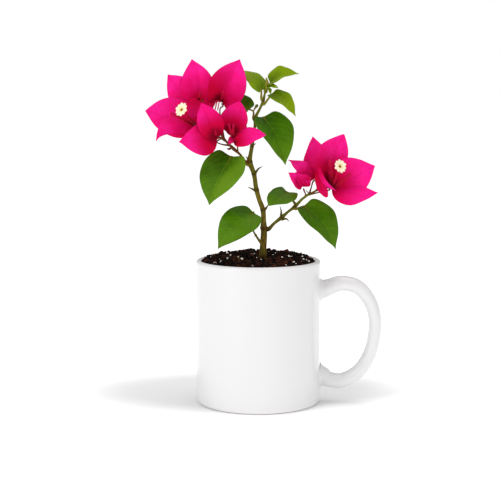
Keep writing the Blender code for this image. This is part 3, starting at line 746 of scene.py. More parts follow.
# %% The blade's formula
CREASE = 0.5  # half width of the soft fold along a midrib, in millimetres
LOBE_AT = 0.05  # where along a blade its base lobes reach back furthest
RIM = 0.05  # half the thickness left at the rim
VEIN_FADE = 1.5  # distance from the midrib over which the side veins' bulges start
MIDRIB_HALF = 0.55  # half width of the midrib's groove and ridge
FOLD_IN = 0.6  # how much of the fold also draws the halves in
LEAF = {  # lengths are parts of the blade's length, except where millimetres are named
    "blunt": 0.40, "point": 0.93, "pinch": 0.35,  # the outline's two powers, and its pinched tip
    "lobe": 0.09, "skew": 0.0,  # reach of the base lobes, and how much wider one half is
    "thick": 0.36, "groove": 0.16, "rib": 0.28,  # millimetres: blade, midrib in front and behind
    "arch": 0.12, "bow": 0.0, "sway": 0.0,  # the midrib raised, bowed aside and swayed at its tip
    "fold": 0.20, "curl": 0.25,  # the halves' slope up from the midrib, and their curl down
    "ruffle": 0.25, "waves": 2.5,  # height in millimetres and number of waves along the rim
    "vein_gap": 0.15, "quilt": 0.16,  # gap between side veins, and millimetres of bulge there
    "throat": 1.0, "shade": -0.25, "flush": 0.0,  # painted shade: at the foot, on one half and all over (below 0, painted light); see blade_shape
    "rows": 64, "columns": 44,
}


def blade_frame(base, tip, face):
    """A blade's base point, length, and the directions along it, out of its face and sideways."""
    base, tip = np.asarray(base, float), np.asarray(tip, float)
    length = np.linalg.norm(tip - base)
    along = (tip - base) / length
    up = np.asarray(face, float)
    up = unit(up - along * (up @ along))
    return base, length, along, up, np.cross(up, along)


def half_width(s, form):
    """s^blunt (1 - s)^point over its own peak, pinched close to the tip."""
    blunt, point = form["blunt"], form["point"]
    widest = blunt / (blunt + point)
    body = (s / widest) ** blunt * ((1.0 - s) / (1.0 - widest)) ** point
    return body * (1.0 - form["pinch"] * np.exp(-(((1.0 - s) / 0.12) ** 2)))


def midrib(blade, s):
    """Points on the midrib: the chord, raised and bowed by half sines, and swayed to a side.

    The sway is s^4 - s, which bends most at the tip.
    """
    form = blade["form"]
    base, length, along, up, side = blade_frame(blade["base"], blade["tip"], blade["face"])
    s = np.asarray(s, float)[..., None]
    middle = np.sin(math.pi * s)
    raised = form["arch"] * middle
    aside = form["bow"] * middle + form["sway"] * (s**4 - s)
    return base + length * (along * s + up * raised + side * aside)


def blade(base, tip, face, width, style, **changes):
    """What a blade needs to be drawn: its place, its width and its form."""
    return {"base": base, "tip": tip, "face": face, "width": width, "form": {**style, **changes}}


def blade_shape(row):
    """A very flat tube: each ring runs over the front from side to side, then home behind.

    Across the blade, with u from 1 to -1, the halves fold up from the midrib with the distance
    and curl down with its square; the rim waves; the skin bulges between the side veins, and the
    base lobes reach back. Fields: along; rib, which counts the side veins; mid, the distance
    from the midrib in widths; under, 1 behind; edge, 1 at the rim; and deep,
    which is exp(-(distance from the base / throat)^2), plus shade on the half where u is above 0,
    plus flush all over. The materials paint it as a dark foot, which on a bract is partly
    pigment and partly painted shade and on a leaf is painted shade, and as painted shade on one
    half or a whole blade; where shade is below 0 that half is painted paler, as painted light.
    """
    form, width = row["form"], row["width"]
    _, length, along, up, side = blade_frame(row["base"], row["tip"], row["face"])
    s = (0.5 - 0.5 * np.cos(math.pi * np.arange(1, form["rows"]) / form["rows"]))[:, None]
    u = np.linspace(1.0, -1.0, form["columns"] + 1)[None]
    reach = width / 2 * half_width(s, form) * u * (1.0 + form["skew"] * u)
    crease = np.sqrt(reach**2 + CREASE**2) - CREASE
    back = form["lobe"] * length * s / LOBE_AT * np.exp(1.0 - s / LOBE_AT) * np.abs(u) ** 1.4
    wave = form["ruffle"] * np.sin(math.tau * form["waves"] * s + 1.3 * u) * u**2
    rib = (s * length - 0.6 * crease - 0.9 * reach**2 / width) / (length * form["vein_gap"])
    fade = np.clip(np.abs(reach) / VEIN_FADE, 0, 1) * (1.0 - u**4) * np.sin(math.pi * s)
    bulge = form["quilt"] * np.sin(math.pi * rib) ** 2 * fade
    lift = form["fold"] * crease - form["curl"] * reach**2 / width + wave + bulge
    flat = midrib(row, s[:, 0])[:, None] - along * back[..., None]
    inward = np.cos(FOLD_IN * form["fold"])
    grid = flat + side * (reach * inward)[..., None] + up * lift[..., None]
    by_row, by_column = np.gradient(grid, axis=(0, 1))
    normal = unit(np.cross(by_column, by_row))
    half = (form["thick"] / 2 * np.sqrt(1.0 - u**6) + RIM) * np.ones_like(s)
    line = np.exp(-((reach / MIDRIB_HALF) ** 2)) * (1.0 - s) ** 0.5
    front = grid + normal * (half - form["groove"] * line)[..., None]
    behind = grid - normal * (half + form["rib"] * line)[..., None]
    away = np.linalg.norm(grid - row["base"], axis=-1)
    # painted shade on one half (painted light where shade is below 0), and painted shade over the
    # whole blade
    shaded = (0.5 + 0.5 * np.tanh(4 * u)) * (1.0 - s) ** 0.7
    deep = np.exp(-((away / form["throat"]) ** 2)) + form["shade"] * shaded + form["flush"]
    fields = {"along": s + 0 * u, "rib": rib, "mid": np.abs(reach) / width, "deep": deep,
              "edge": np.abs(u) ** 14 + 0 * s}
    fields = {name: np.hstack([values, values[:, ::-1]]) for name, values in fields.items()}
    fields["under"] = np.hstack([np.zeros_like(reach), np.ones_like(reach)])
    rings = np.concatenate([front, behind[:, ::-1]], axis=1)
    return round_body(rings, *midrib(row, [0.0, 1.0]), **fields)


# %% [markdown]
# ### Leaves
#
# Each leaf hangs from a round leaf stalk that leaves the stem at a node and runs on as the
# midrib. The big ones are mature and dark, and those near the tip are young, yellower and more
# folded. One half of each blade is painted a little paler than the other, as painted light, and
# every blade is paler toward its tip; some are painted darker at the foot, on one half or all
# over, as painted shade.

# %% The nine leaves
# Per leaf: throat is how far the painted shade at the foot reaches, and the other shade values paint
# shade on one half or over the whole blade; below 0 a half is painted paler, as painted light.
LEAVES = {  # carrier, height on it, then the blade
    "lower_left": ("stem", 107.0, blade(
        (-3.0, -3.0, 126.5), (-26.2, -14.0, 104.4), (-0.12, -0.83, 0.54), 23.5, LEAF,
        arch=0.24, fold=0.12, curl=0.33, blunt=0.43, point=0.87, lobe=0.05,
        via=(-3.9, 1.0, 116.2))),
    "mid_left": ("stem", 158.3, blade(
        (-17.5, -6.0, 163.6), (-31.7, -16.0, 133.0), (-0.43, -0.78, 0.45), 32.5, LEAF,
        arch=0.05, fold=0.26, curl=0.34, sway=0.04, throat=15.0, shade=-1.0)),
    "upper_right": ("stem", 185.0, blade(
        (3.0, -2.0, 188.9), (17.3, -12.0, 158.5), (0.39, -0.80, 0.45), 26, LEAF,
        arch=0.14, fold=0.39, curl=0.11, lobe=0.06, throat=14.0)),
    "lower_right": ("branch", 130.4, blade(
        (29.4, -6.0, 131.3), (50.1, -12.0, 103.9), (0.49, -0.69, 0.52), 26, LEAF,
        arch=0.14, fold=0.32, curl=0.22, lobe=0.06, flush=0.3, shade=-0.45)),
    "centre": ("branch", 131.6, blade(
        (19.2, 3.0, 139.7), (6.4, -10.0, 132.0), (-0.03, -0.49, 0.87), 19.5, LEAF,
        arch=0.05, fold=0.21, curl=0.30, bow=0.07, blunt=0.33, point=0.71, lobe=0.14)),
    "top_right": ("stem", 205.6, blade(
        (7.6, 4.4, 210.7), (26.3, -1.0, 216.8), (-0.40, -0.51, 0.76), 18, LEAF,
        arch=0.15, fold=0.40, curl=0.21, blunt=0.44, point=1.21, throat=6.0)),
    "top_left": ("stem", 199.6, blade(
        (1.9, 1.0, 206.4), (-10.1, 9.0, 218.6), (0.28, -0.65, 0.70), 13.5, LEAF,
        arch=0.11, fold=0.13, curl=0.26, skew=-0.11, point=0.81, lobe=0.13, throat=6.0)),
    "side_right": ("stem", 197.6, blade(
        (8.6, 0.5, 203.7), (23.8, -7.0, 189.6), (0.25, -0.72, 0.65), 13, LEAF,
        arch=0.20, fold=0.28, curl=0.23, blunt=0.36, lobe=0.06, throat=8.0)),
    "behind_flowers": ("stem", 187.4, blade(
        (-6.0, 4.0, 193.8), (-19.0, 14.0, 201.4), (0.10, -0.90, 0.40), 13.5, LEAF,
        arch=0.10, curl=0.20, flush=0.2, via=(-3.3, 2.5, 192.4))),
}
YOUNG = ("top_right", "top_left", "side_right")
PETIOLE = (1.9, 1.1)  # diameters at the stem and at the blade
PETIOLE_SUNK = 0.5  # how far its end lies inside the bark


def petiole_shape(path, height, row):
    """The leaf stalk: a tube from inside the bark, straight to the blade and on under the midrib."""
    start, out = beside(path, height, row["base"])
    thick, thin = PETIOLE
    under = midrib(row, [0.03, 0.12])
    via = row["form"].get("via")
    aim = out * 0.5 + unit(np.asarray(via or row["base"]) - start)
    rows = [(*(start - out * PETIOLE_SUNK), thick * 1.5)]
    rows += [(*(start + aim * 0.9), thick * 0.9)]
    rows += [(*via, thin)] if via else []
    rows += [(*row["base"], thin), (*under[0], thin * 0.85), (*under[1], thin * 0.5)]
    return tube_shape(smooth(rows, 0.5), 16, stalk=1.0)


# %% [markdown]
# ### Leaf green
#
# A mature leaf has a waxy cuticle over deep green tissue: satin, with a soft highlight, and a
# little light passes through it. Side veins leave the midrib every four millimetres or so and
# are paler, and so is the matt underside. The nets of tiny veins between them are cells of a
# Voronoi pattern about 0.8 mm across.


# %% Leaf material
LEAF_ROUGHNESS, BACK_ROUGHNESS = 0.40, 0.70


def off_vein(material):
    """How far a point lies from the nearest side vein, as a part of the gap between two."""
    rib = add_node(material, "Attribute", {}, "Fac", attribute_name="rib")
    return add_node(material, "Math", {0: rib, 1: 0.5}, operation="PINGPONG")


def tissue(material, patch, cell):
    """Soft patches, and the distance to the nearest tiny vein; both sizes in millimetres."""
    place = add_node(material, "TexCoord", {}, "Object")
    patches = add_node(material, "TexNoise",
                       {"Vector": place, "Scale": 1 / (patch * MM), "Detail": 2.0})
    cells = add_node(material, "TexVoronoi", {"Vector": place, "Scale": 1 / (cell * MM)},
                     "Distance", feature="DISTANCE_TO_EDGE")
    return patches, cells


def make_leaf_green(name, base, patch, pale, dark, vein, behind, stalk):
    """Satin green in patches, painted paler and darker as painted light and shade, with veins and a
    matt back.
    """
    material, shader = new_material(
        name, base, LEAF_ROUGHNESS, Specular_IOR_Level=0.07, Subsurface_Weight=0.1,
        Subsurface_Scale=0.8 * MM, Subsurface_Radius=(0.4, 1.0, 0.1))
    patches, cells = tissue(material, 9.0, 0.8)
    lay_colours(material, shader, [
        # pale is painted light on one half of a blade, and is also laid toward the tip; dark is
        # painted shade at the foot, on one half or over a whole blade
        (patches, 0.35, 0.7, 1.0, patch), ("deep", -0.02, -0.35, 0.8, pale),
        ("along", 0.4, 1.0, 0.5, pale), ("deep", 0.05, 1.0, 0.9, dark),
        (cells, 0.12, 0.0, 0.18, vein), (off_vein(material), 0.09, 0.0, 0.22, vein),
        ("mid", 0.024, 0.006, 0.22, vein), ("under", 0.2, 0.8, 0.75, behind),
        ("stalk", 0.0, 1.0, 1.0, stalk)])
    height = add_node(material, "Math", {0: cells, 1: 0.5}, operation="MINIMUM")
    bump = add_node(material, "Bump", {"Height": height, "Strength": 0.35, "Distance": 0.12 * MM})
    under = add_node(material, "Attribute", {}, "Fac", attribute_name="under")
    rough = add_node(material, "MapRange",
                     {"Value": under, "To Min": LEAF_ROUGHNESS, "To Max": BACK_ROUGHNESS})
    connect(shader, Roughness=rough, Normal=bump)
    return material


# The pale green is painted light and the dark green is painted shade.
mature_leaf = make_leaf_green(
    "mature_leaf", base="345E00", patch="427200", pale="648C1A", dark="1C4200", vein="749C1C",
    behind="86A63C", stalk="7C6C20")
young_leaf = make_leaf_green(
    "young_leaf", base="607C00", patch="749000", pale="869C00", dark="406400", vein="ACBE28",
    behind="A0B43C", stalk="8A8430")
for name, (carrier, height, row) in LEAVES.items():
    path = stem_path if carrier == "stem" else branch_path
    shape = join_shapes([blade_shape(row), petiole_shape(path, height, row)])
    young = name in YOUNG
    make_piece("blade_" + name, shape, young_leaf if young else mature_leaf, "leaf_" + name)

# %% [markdown]
# ## Flower heads
#
# Three bracts stand round three thin tubes. A bract is papery, dry to the touch, folded up
# along its midrib and drawn to a point, deep crimson in the throat and magenta outside; the
# darkness in the throat is partly pigment and partly painted shade. Only the heads that face
# the viewer have an open flower: a cream star with ten small lobes.

# %% The eight flower heads
BRACT = {
    **LEAF, "blunt": 0.50, "pinch": 0.20, "lobe": 0.05, "thick": 0.20, "groove": 0.05,
    "rib": 0.12, "arch": 0.10, "fold": 0.25, "curl": 0.32, "ruffle": 0.5, "waves": 2.2,
    "vein_gap": 0.11, "quilt": 0.24, "throat": 6.0, "shade": 0.0, "rows": 56, "columns": 40,
}


def bract(tip, face, width, **changes):
    """A bract of a head: its tip, the way that it faces, its width and its own form."""
    return tip, face, width, changes


def head(seat, *bracts, flower=None):
    """A flower head: its seat, its bracts, and the place and face of its open flower."""
    return seat, bracts, flower


# A bract's throat is how far its dark foot, partly pigment and partly painted shade, reaches; its
# other shade values paint shade on one half or over the whole bract, and below 0 they paint it
# lighter.
BLOOMS = {  # seat, then the bracts in order
    "left_top": head(
        (-37.2, -3.0, 199.6),
        bract((-43.3, 2.0, 226.2), (-0.04, -0.99, 0.16), 22.5, arch=0.0, fold=0.33, bow=-0.08,
              skew=0.21, point=1.0, lobe=0.08, sway=0.04, flush=-0.12, shift=(0.0, 2.5, -0.3)),
        bract((-59.0, 5.0, 216.3), (-0.21, -0.96, 0.16), 22, arch=-0.02, fold=0.18, curl=0.25,
              bow=0.06, skew=0.09, sway=-0.05, shift=(0.0, 3.5, -0.4)),
        bract((-42.0, -7.0, 184.0), (0.1, -0.95, -0.2), 15, flush=0.5, throat=0.6)),
    "left_outer": head(
        (-38.0, -9.0, 183.0),
        bract((-72.3, -16.0, 193.3), (0.27, -0.95, 0.19), 26, arch=-0.08, fold=0.09, curl=0.41,
              skew=-0.16, point=0.78, sway=0.04, throat=13.0, flush=-0.1),
        bract((-64.9, -27.0, 174.3), (0.22, -0.93, 0.3), 11.8, arch=0.0, fold=-0.1, curl=0.4,
              bow=-0.12, skew=0.2, blunt=0.55, point=0.96, lobe=0.0, sway=0.27, flush=0.25,
              shade=-0.35),
        bract((-48.0, 16.0, 184.0), (-0.6, 0.2, 0.8), 16),
        flower=((-48.9, -26.0, 194.5), (-0.5, -0.78, 0.38))),
    "left_high": head(
        (-23.7, -1.0, 197.6),
        bract((-12.1, -2.0, 226.1), (0.12, -0.98, -0.13), 25.5, arch=-0.02, fold=0.42, curl=0.24,
              skew=0.05, lobe=0.15, shade=0.95, throat=4.5, flush=-0.1),
        bract((-38.5, -3.0, 193.5), (0.1, -0.95, 0.0), 8, flush=0.5, throat=0.6,
              shift=(-5.0, 0.0, 1.5)),
        bract((-20.0, 22.0, 208.0), (0.3, -0.2, 0.9), 18)),
    "left_front": head(
        (-25.4, -15.0, 176.4),
        bract((-36.4, -24.0, 198.3), (0.25, -0.93, -0.27), 17, arch=0.1, skew=0.04, blunt=0.55,
              point=0.83, lobe=0.07, flush=0.18, throat=12.0, shift=(0.0, -3.0, 0.4)),
        bract((-50.5, -27.0, 174.0), (0.53, -0.85, 0.01), 22, arch=0.05, fold=0.13, blunt=0.47,
              point=1.0, lobe=0.0, flush=0.12, throat=14.0, shade=-0.1),
        bract((-41.0, -7.0, 170.0), (0.0, 0.5, 0.85), 12)),
    "left_inner": head(
        (-17.7, -12.0, 175.5),
        bract((-12.0, -15.0, 199.4), (-0.26, -0.96, -0.08), 18.5, arch=-0.14, fold=0.38,
              curl=0.34, bow=-0.08, skew=0.3, blunt=0.56, point=0.84, lobe=0.0, sway=0.04,
              flush=0.3, throat=9.0, shift=(-1.5, 0.0, 2.5)),
        bract((4.6, -24.0, 178.2), (-0.28, -0.85, 0.42), 12.3, arch=0.02, fold=0.09, curl=0.32,
              bow=0.06, blunt=0.62, point=0.96, lobe=0.0, sway=-0.09, throat=6.0, flush=0.15,
              shift=(0.5, -3.0, -3.6)),
        bract((-19.0, -15.0, 171.9), (0.1, -0.95, 0.1), 4.5, flush=0.5, throat=0.6),
        bract((-12.0, 8.0, 186.0), (0.2, -0.4, 0.9), 14)),
    "right_large": head(
        (46.4, -8.0, 142.4),
        bract((55.3, -4.0, 177.9), (0.53, -0.85, -0.01), 26, arch=-0.14, fold=0.32, curl=0.28,
              skew=0.21, blunt=0.7, point=0.71, lobe=0.06, sway=-0.05, throat=15.0, shade=0.45),
        bract((74.6, -17.0, 158.3), (-0.31, -0.95, 0.01), 27.5, arch=-0.07, fold=0.13, curl=0.36,
              skew=0.09, throat=14.0, flush=-0.1),
        bract((76.1, -23.0, 141.5), (-0.32, -0.84, 0.43), 16, arch=-0.09, fold=0.04, curl=0.35,
              bow=-0.04, point=1.09, lobe=0.0),
        bract((49.9, -15.0, 142.0), (-0.2, -0.95, 0.2), 3.1, bow=-0.13, point=0.75, throat=0.6,
              flush=0.25, shift=(-8.8, -5.0, 14.1)),
        flower=((52.0, -24.0, 158.5), (0.45, -0.8, 0.4))),
    "right_back": head(
        (37.0, -1.0, 148.0),
        bract((35.6, 4.0, 176.1), (-0.38, -0.92, 0.12), 19.5, arch=-0.03, bow=-0.04, blunt=0.45,
              point=0.97, lobe=0.1, throat=4.0, flush=0.12),
        bract((44.2, -13.0, 137.7), (-0.4, -0.9, 0.1), 6.8, fold=0.1, blunt=0.4, point=0.45,
              pinch=0.0, bow=-0.05, flush=0.75, throat=0.6, shift=(0.6, -10.0, 5.2)),
        bract((52.0, 20.0, 160.0), (0.0, -0.3, 0.9), 17)),
    "right_small": head(
        (29.3, -5.0, 142.6),
        bract((19.4, -2.0, 161.1), (0.59, -0.69, 0.42), 15.5, arch=0.31, fold=0.31, skew=-0.09,
              blunt=0.46, point=0.83, sway=0.05, throat=0.6, flush=0.15),
        bract((19.2, -13.0, 153.6), (0.38, -0.85, -0.37), 12, fold=0.45, curl=0.21, skew=-0.3,
              blunt=0.3, lobe=0.04, throat=0.6, flush=0.3, shift=(0.0, 0.0, 0.8)),
        bract((31.3, -8.0, 150.8), (0.2, -0.95, -0.1), 7.5, blunt=0.33, point=0.55, pinch=0.0,
              lobe=0.03, throat=0.6, flush=0.4, shift=(0.8, -1.8, 0.2)),
        bract((26.0, 13.0, 152.0), (0.0, -0.2, 0.9), 12)),
}
BRACT_SEAT = 1.6  # how far along a head's axis its bracts and tubes are rooted


def bloom_axis(seat, bracts):
    """The direction that a head faces: the mean of the directions to its bracts' tips."""
    return unit(sum(unit(np.asarray(row[0]) - seat) for row in bracts))


def bloom_blades(name):
    """The bracts of a head as blades from one root, unless a bract's form shifts its own."""
    seat, bracts, _ = BLOOMS[name]
    root = np.asarray(seat) + bloom_axis(np.asarray(seat), bracts) * BRACT_SEAT
    return root, [blade(root + changes.get("shift", 0.0), tip, face, width, BRACT, **changes)
                  for tip, face, width, changes in bracts]


# %% Stalks of the flower heads
VIA = {  # points that a head's stalk passes, between the wood and the head
    "left_top": [(-33.0, 1.0, 190.0)],
    "left_high": [(-25.0, -5.0, 192.6)],
    "left_front": [(-23.6, -9.0, 171.6), (-26.9, -9.5, 173.3)],
    "right_small": [(30.6, -4.8, 139.4)],
}
STALK_TWIGS = [  # centre line with diameters: a stalk of a side bract, a scale and a scar
    [(-13.4, -5.5, 166.6, 1.2), (-13.5, -8.0, 169.6, 0.9), (-13.5, -12.0, 172.2, 0.9)],
    [(-17.4, -8.0, 169.5, 0.8), (-18.9, -9.0, 168.6, 1.5), (-20.4, -9.5, 168.8, 0.5)],
]
BRANCH_TWIGS = [  # a brown bud and a spur
    [(34.0, -6.0, 139.6, 1.2), (37.2, -7.0, 141.4, 1.3), (38.4, -7.3, 142.2, 2.2),
     (39.9, -7.6, 143.1, 1.0)],
    [(33.0, -5.5, 139.4, 0.8), (30.9, -6.0, 141.6, 0.4)],
]
SEAT_RUN = 2.0  # how far a head's stalk runs straight before its seat


def pedicel_shape(start, name):
    """A thin stalk from the wood to a head's seat, with a slightly wider end."""
    seat, bracts, _ = BLOOMS[name]
    axis = bloom_axis(np.asarray(seat), bracts)
    before = seat - axis * SEAT_RUN
    rows = [(*start, PEDICEL * 1.5)]  # diameters swell at both ends
    rows += [(*via, PEDICEL * 0.9) for via in VIA.get(name, [(start + before) / 2])]
    rows += [(*before, PEDICEL), (*seat, PEDICEL * 1.1)]
    return tube_shape(smooth(rows, 0.5), 16, age=0.6, node=0.1, rose=0.9)


RIGHT_FORKS = {"right_large": 6, "right_back": 4, "right_small": 10}  # rings before the end
LEFT_FORKS = {"left_top": 7, "left_outer": 7, "left_high": 2, "left_front": 15, "left_inner": 12}


def limb_parts(path, forks, twigs, rose):
    """The stalks of a limb's flower heads, then its twigs."""
    stalks = [pedicel_shape(path[-back, :3], name) for name, back in forks.items()]
    return stalks + [twig_shape(rows, rose=rose) for rows in twigs]


branch_parts = [wood_shape(branch_rows, BRANCH_NODES, (0.35, 0.95), sides=24)]
branch_parts += [thorn_shape(*row) for row in BRANCH_THORNS]
branch_parts += limb_parts(branch_path, RIGHT_FORKS, BRANCH_TWIGS, 0.6)
make_piece("branch_bark", join_shapes(branch_parts), bark, "branch_right")
stalk_parts = [wood_shape(stalk_rows, STALK_NODES, (0.7, 0.8), sides=20, rose=0.75)]
stalk_parts += limb_parts(stalk_path, LEFT_FORKS, STALK_TWIGS, 0.9)
make_piece("stalk_bark", join_shapes(stalk_parts), bark, "flower_stalk_left")


# %% Tubes and open flowers
CLOSED_TUBES = {  # the tips of the tubes that haven't opened
    "left_top": [(-37.4, -5.0, 205.4)],
    "left_outer": [(-55.8, -21.0, 191.9)],
    "left_high": [(-22.6, -5.0, 205.8)],
    "left_front": [(-27.8, -20.0, 182.5)],
    "left_inner": [(-19.2, -17.0, 185.0), (-16.0, -17.0, 184.7)],
    "right_large": [(46.7, -9.0, 161.1), (58.4, -20.0, 153.0)],
}
TUBE, LARGE_TUBE, STAR_TUBE = 1.4, 2.3, 1.6  # diameters
BUD_STALK = 0.8
TUBE_SIDES, TUBE_STEP = 20, 0.4
BUD_STALKS = [  # the free ends of thin red bud stalks, which hang from the high left head's root
    [(-28.2, -5.0, 199.2, 0.8), (-29.6, -5.2, 194.8, 0.8)],
    [(-26.6, -5.0, 199.2, 0.8), (-28.0, -5.2, 194.0, 0.8)],
    [(-25.3, -5.0, 198.9, 0.7), (-26.4, -5.2, 193.4, 0.7)],
]
TUBE_ARCH = 2.2  # how far a tube bends toward the viewer between its root and its tip
STAR_RADIUS, STAR_SIDES = 4.5, 80


def tube_of_flower(rows):
    """A flower tube with five ribs: radius (1 + 0.10 cos 5a) along a smooth path."""
    path = smooth(rows, TUBE_STEP)
    turn = around(TUBE_SIDES)
    along = np.linspace(0.0, 1.0, len(path))[:, None]
    return tube_shape(path, TUBE_SIDES, relief=0.10 * np.cos(5 * turn), along=along)


# %% The open flower
def star_shape(centre, face):
    """A saucer of ten round lobes: radius r (1 - 0.24 (1 - |cos 5a|^0.6) (r/R)^2), wavy in depth."""
    face = unit(face)
    first = unit(np.cross(face, (0.3, 0.2, 1.0)))
    second = np.cross(face, first)
    turn = around(STAR_SIDES)
    under = [(0.7, -1.6), (0.9, -1.0), (1.6, -0.55), (2.8, -0.3), (3.9, -0.22)]
    over = [(4.5, 0.05), (4.0, 0.12), (3.0, 0.1), (2.0, 0.0), (1.4, -0.1), (0.9, -0.4)]
    over += [(0.6, -0.9)]
    profile = smooth([(r, h, 0.0) for r, h in under + over], 0.4)[:, :2]
    radius, depth = profile.T[..., None]
    share = (radius / STAR_RADIUS) ** 2
    notch = 1.0 - np.abs(np.cos(5 * turn)) ** 0.6
    lobes = radius * (1.0 - share * (0.24 * notch + 0.04 * np.cos(2 * turn + 0.4)))
    depth = depth + share * (0.25 * np.cos(5 * turn) + 0.15 * np.cos(3 * turn + 1.0))
    rings = (centre + (lobes * np.cos(turn))[..., None] * first
             + (lobes * np.sin(turn))[..., None] * second + depth[..., None] * face)
    eye = np.exp(-((radius / 1.3) ** 2)) + 0 * turn
    return round_body(rings, centre - face * 1.7, centre - face * 1.0, eye=eye)


# %% What a head holds
def tube_to(root, tip, thick):
    """A tube from a head's root to a tip, swollen low down, waisted and arched to the front."""
    root, tip = np.asarray(root), np.asarray(tip)
    low, high = root * 0.68 + tip * 0.32, root * 0.3 + tip * 0.7
    low, high = low - (0.0, TUBE_ARCH, 0.0), high - (0.0, TUBE_ARCH * 0.7, 0.0)
    return tube_of_flower([(*root, thick * 0.9), (*low, thick * 1.3), (*high, thick * 0.95),
                           (*tip, thick * 1.25)])


def flower_parts(name):
    """The closed tubes of a head and its open flower with its own tube."""
    star = BLOOMS[name][2]
    root, _ = bloom_blades(name)
    thick = LARGE_TUBE if name == "right_large" else TUBE
    tubes = [tube_to(root, tip, thick) for tip in CLOSED_TUBES.get(name, [])]
    if name == "left_high":
        starts = [(*root, BUD_STALK)]
        tubes += [tube_shape(smooth(starts + rows, TUBE_STEP), 12, along=0.9)
                  for rows in BUD_STALKS]
    if not star:
        return tubes, []
    centre, way = np.asarray(star[0]), unit(star[1])
    tubes.append(tube_to(root, centre - way * 1.2, STAR_TUBE))
    return tubes, [star_shape(centre, way)]


# %% [markdown]
# ### Paper, tubes and cream stars
#
# Bract tissue is thin and dry, with almost no gloss; light passes through and comes out
# redder, so it has strong subsurface scattering. The throat is darker, partly from the pigment,
# which is thickest there, and partly as painted shade, near black between the tubes; some
# bracts, or one half of them, are painted darker all over as painted shade. The bract's veins
# run in a net and are slightly darker. Tubes are dull crimson, with fine hairs that give a
# faint sheen. The star is waxy cream with a yellow ring round a dark olive eye.


# %% Flower materials
def make_bract_paper():
    """Magenta in patches, with veins, a redder foot, a darker rim, and a throat that is partly
    pigment and partly painted shade, with painted shade on whole bracts or halves.
    """
    material, shader = new_material(
        "papery_bract", "FF249C", 0.6, Specular_IOR_Level=0.03, Subsurface_Weight=0.2,
        Subsurface_Scale=1.5 * MM, Subsurface_Radius=(1.0, 0.05, 0.2))
    patches, cells = tissue(material, 7.0, 1.3)
    lay_colours(material, shader, [
        (patches, 0.35, 0.7, 0.5, "F80074"), (cells, 0.10, 0.0, 0.3, "D8005E"),
        (off_vein(material), 0.12, 0.0, 0.2, "C80058"), ("mid", 0.02, 0.006, 0.3, "D00060"),
        ("under", 0.2, 0.8, 0.3, "FF2C98"), ("along", 0.74, 0.20, 0.85, "CE0048"),
        # the last two layers: crimson, partly pigment and partly painted shade, then near black
        # painted shade deep in the throat
        ("edge", 0.45, 0.9, 0.5, "A0145C"), ("deep", 0.05, 0.7, 0.8, "B80028"),
        ("deep", 0.78, 1.08, 0.72, "50000A")])
    bump = add_node(material, "Bump", {"Height": cells, "Strength": 0.6, "Distance": 0.15 * MM})
    connect(shader, Normal=bump)
    return material


def make_tube_skin():
    """Dark crimson at the root, brighter along the tube."""
    material, shader = new_material("flower_tube", "5A0010", 0.6, Specular_IOR_Level=0.1)
    lay_colours(material, shader, [("along", 0.15, 0.6, 1.0, "AC002C"),
                                   ("along", 0.7, 1.0, 1.0, "C00A48")])
    noise_relief(material, shader, 0.5, 0.05)
    return material


def make_star_cream():
    """Cream with a yellow ring and a dark middle, by the field eye."""
    material, shader = new_material("waxy_cream_petal", "FBEFCE", 0.45, Subsurface_Weight=0.2,
                                    Subsurface_Scale=0.8 * MM)
    lay_colours(material, shader, [("eye", 0.02, 0.4, 0.9, "EFD27A"),
                                   ("eye", 0.5, 0.85, 1.0, "54440E")])
    noise_relief(material, shader, 0.7, 0.05)
    return material


bract_paper, tube_skin, star_cream = make_bract_paper(), make_tube_skin(), make_star_cream()
for name in BLOOMS:
    node = "bloom_" + name
    shape = join_shapes([blade_shape(row) for row in bloom_blades(name)[1]])
    make_piece("bracts_" + name, shape, bract_paper, node)
    tubes, stars = flower_parts(name)
    if tubes:
        make_piece("tubes_" + name, join_shapes(tubes), tube_skin, node)
    if stars:
        make_piece("star_" + name, join_shapes(stars), star_cream, node)

# %% [markdown]
# ## The growing tip
#
# The shoot ends in a bud: a brownish green spike of folded leaflets, with the two youngest
# leaves just opening beside it.

# %% The shoot's bud
SHOOT = [
    (5.2, 0.0, 206.6, 1.5), (5.6, 0.1, 209.8, 2.4), (5.4, 0.1, 212.2, 1.9), (5.0, 0.2, 214.6, 0.4),
]
SHOOT_LEAVES = [
    ((5.6, -0.8, 208.0), (12.7, -7.5, 207.7), (0.0, -0.6, 0.8), 5),
    ((5.4, -0.5, 208.6), (7.6, -5.6, 203.6), (0.6, -0.7, 0.3), 4),
]
BUD_LEAF = {**LEAF, "lobe": 0.0, "blunt": 0.5, "thick": 0.3, "fold": 0.3, "quilt": 0.05,
            "rows": 28, "columns": 16}
shoot = [tube_shape(smooth(SHOOT, 0.3), 18, stalk=1.0)]
shoot += [blade_shape(blade(*row, BUD_LEAF)) for row in SHOOT_LEAVES]
make_piece("shoot_bud", join_shapes(shoot), young_leaf, "shoot_tip")

# %% [markdown]
# ## Floor, light and camera
#
# A pale sheet runs under the mug, lit from everywhere at once as in a light tent, with four soft
# lamps: a key at the upper left, a weak fill at the right, one low at the left and one overhead.
# The world gives the even light, and the lamps give the leaves and the glaze their direction.
# The sheet glows by itself, and its glow fades in a wide oval round the mug. That oval is a
# painted shade, not a shadow that the lamps cast.

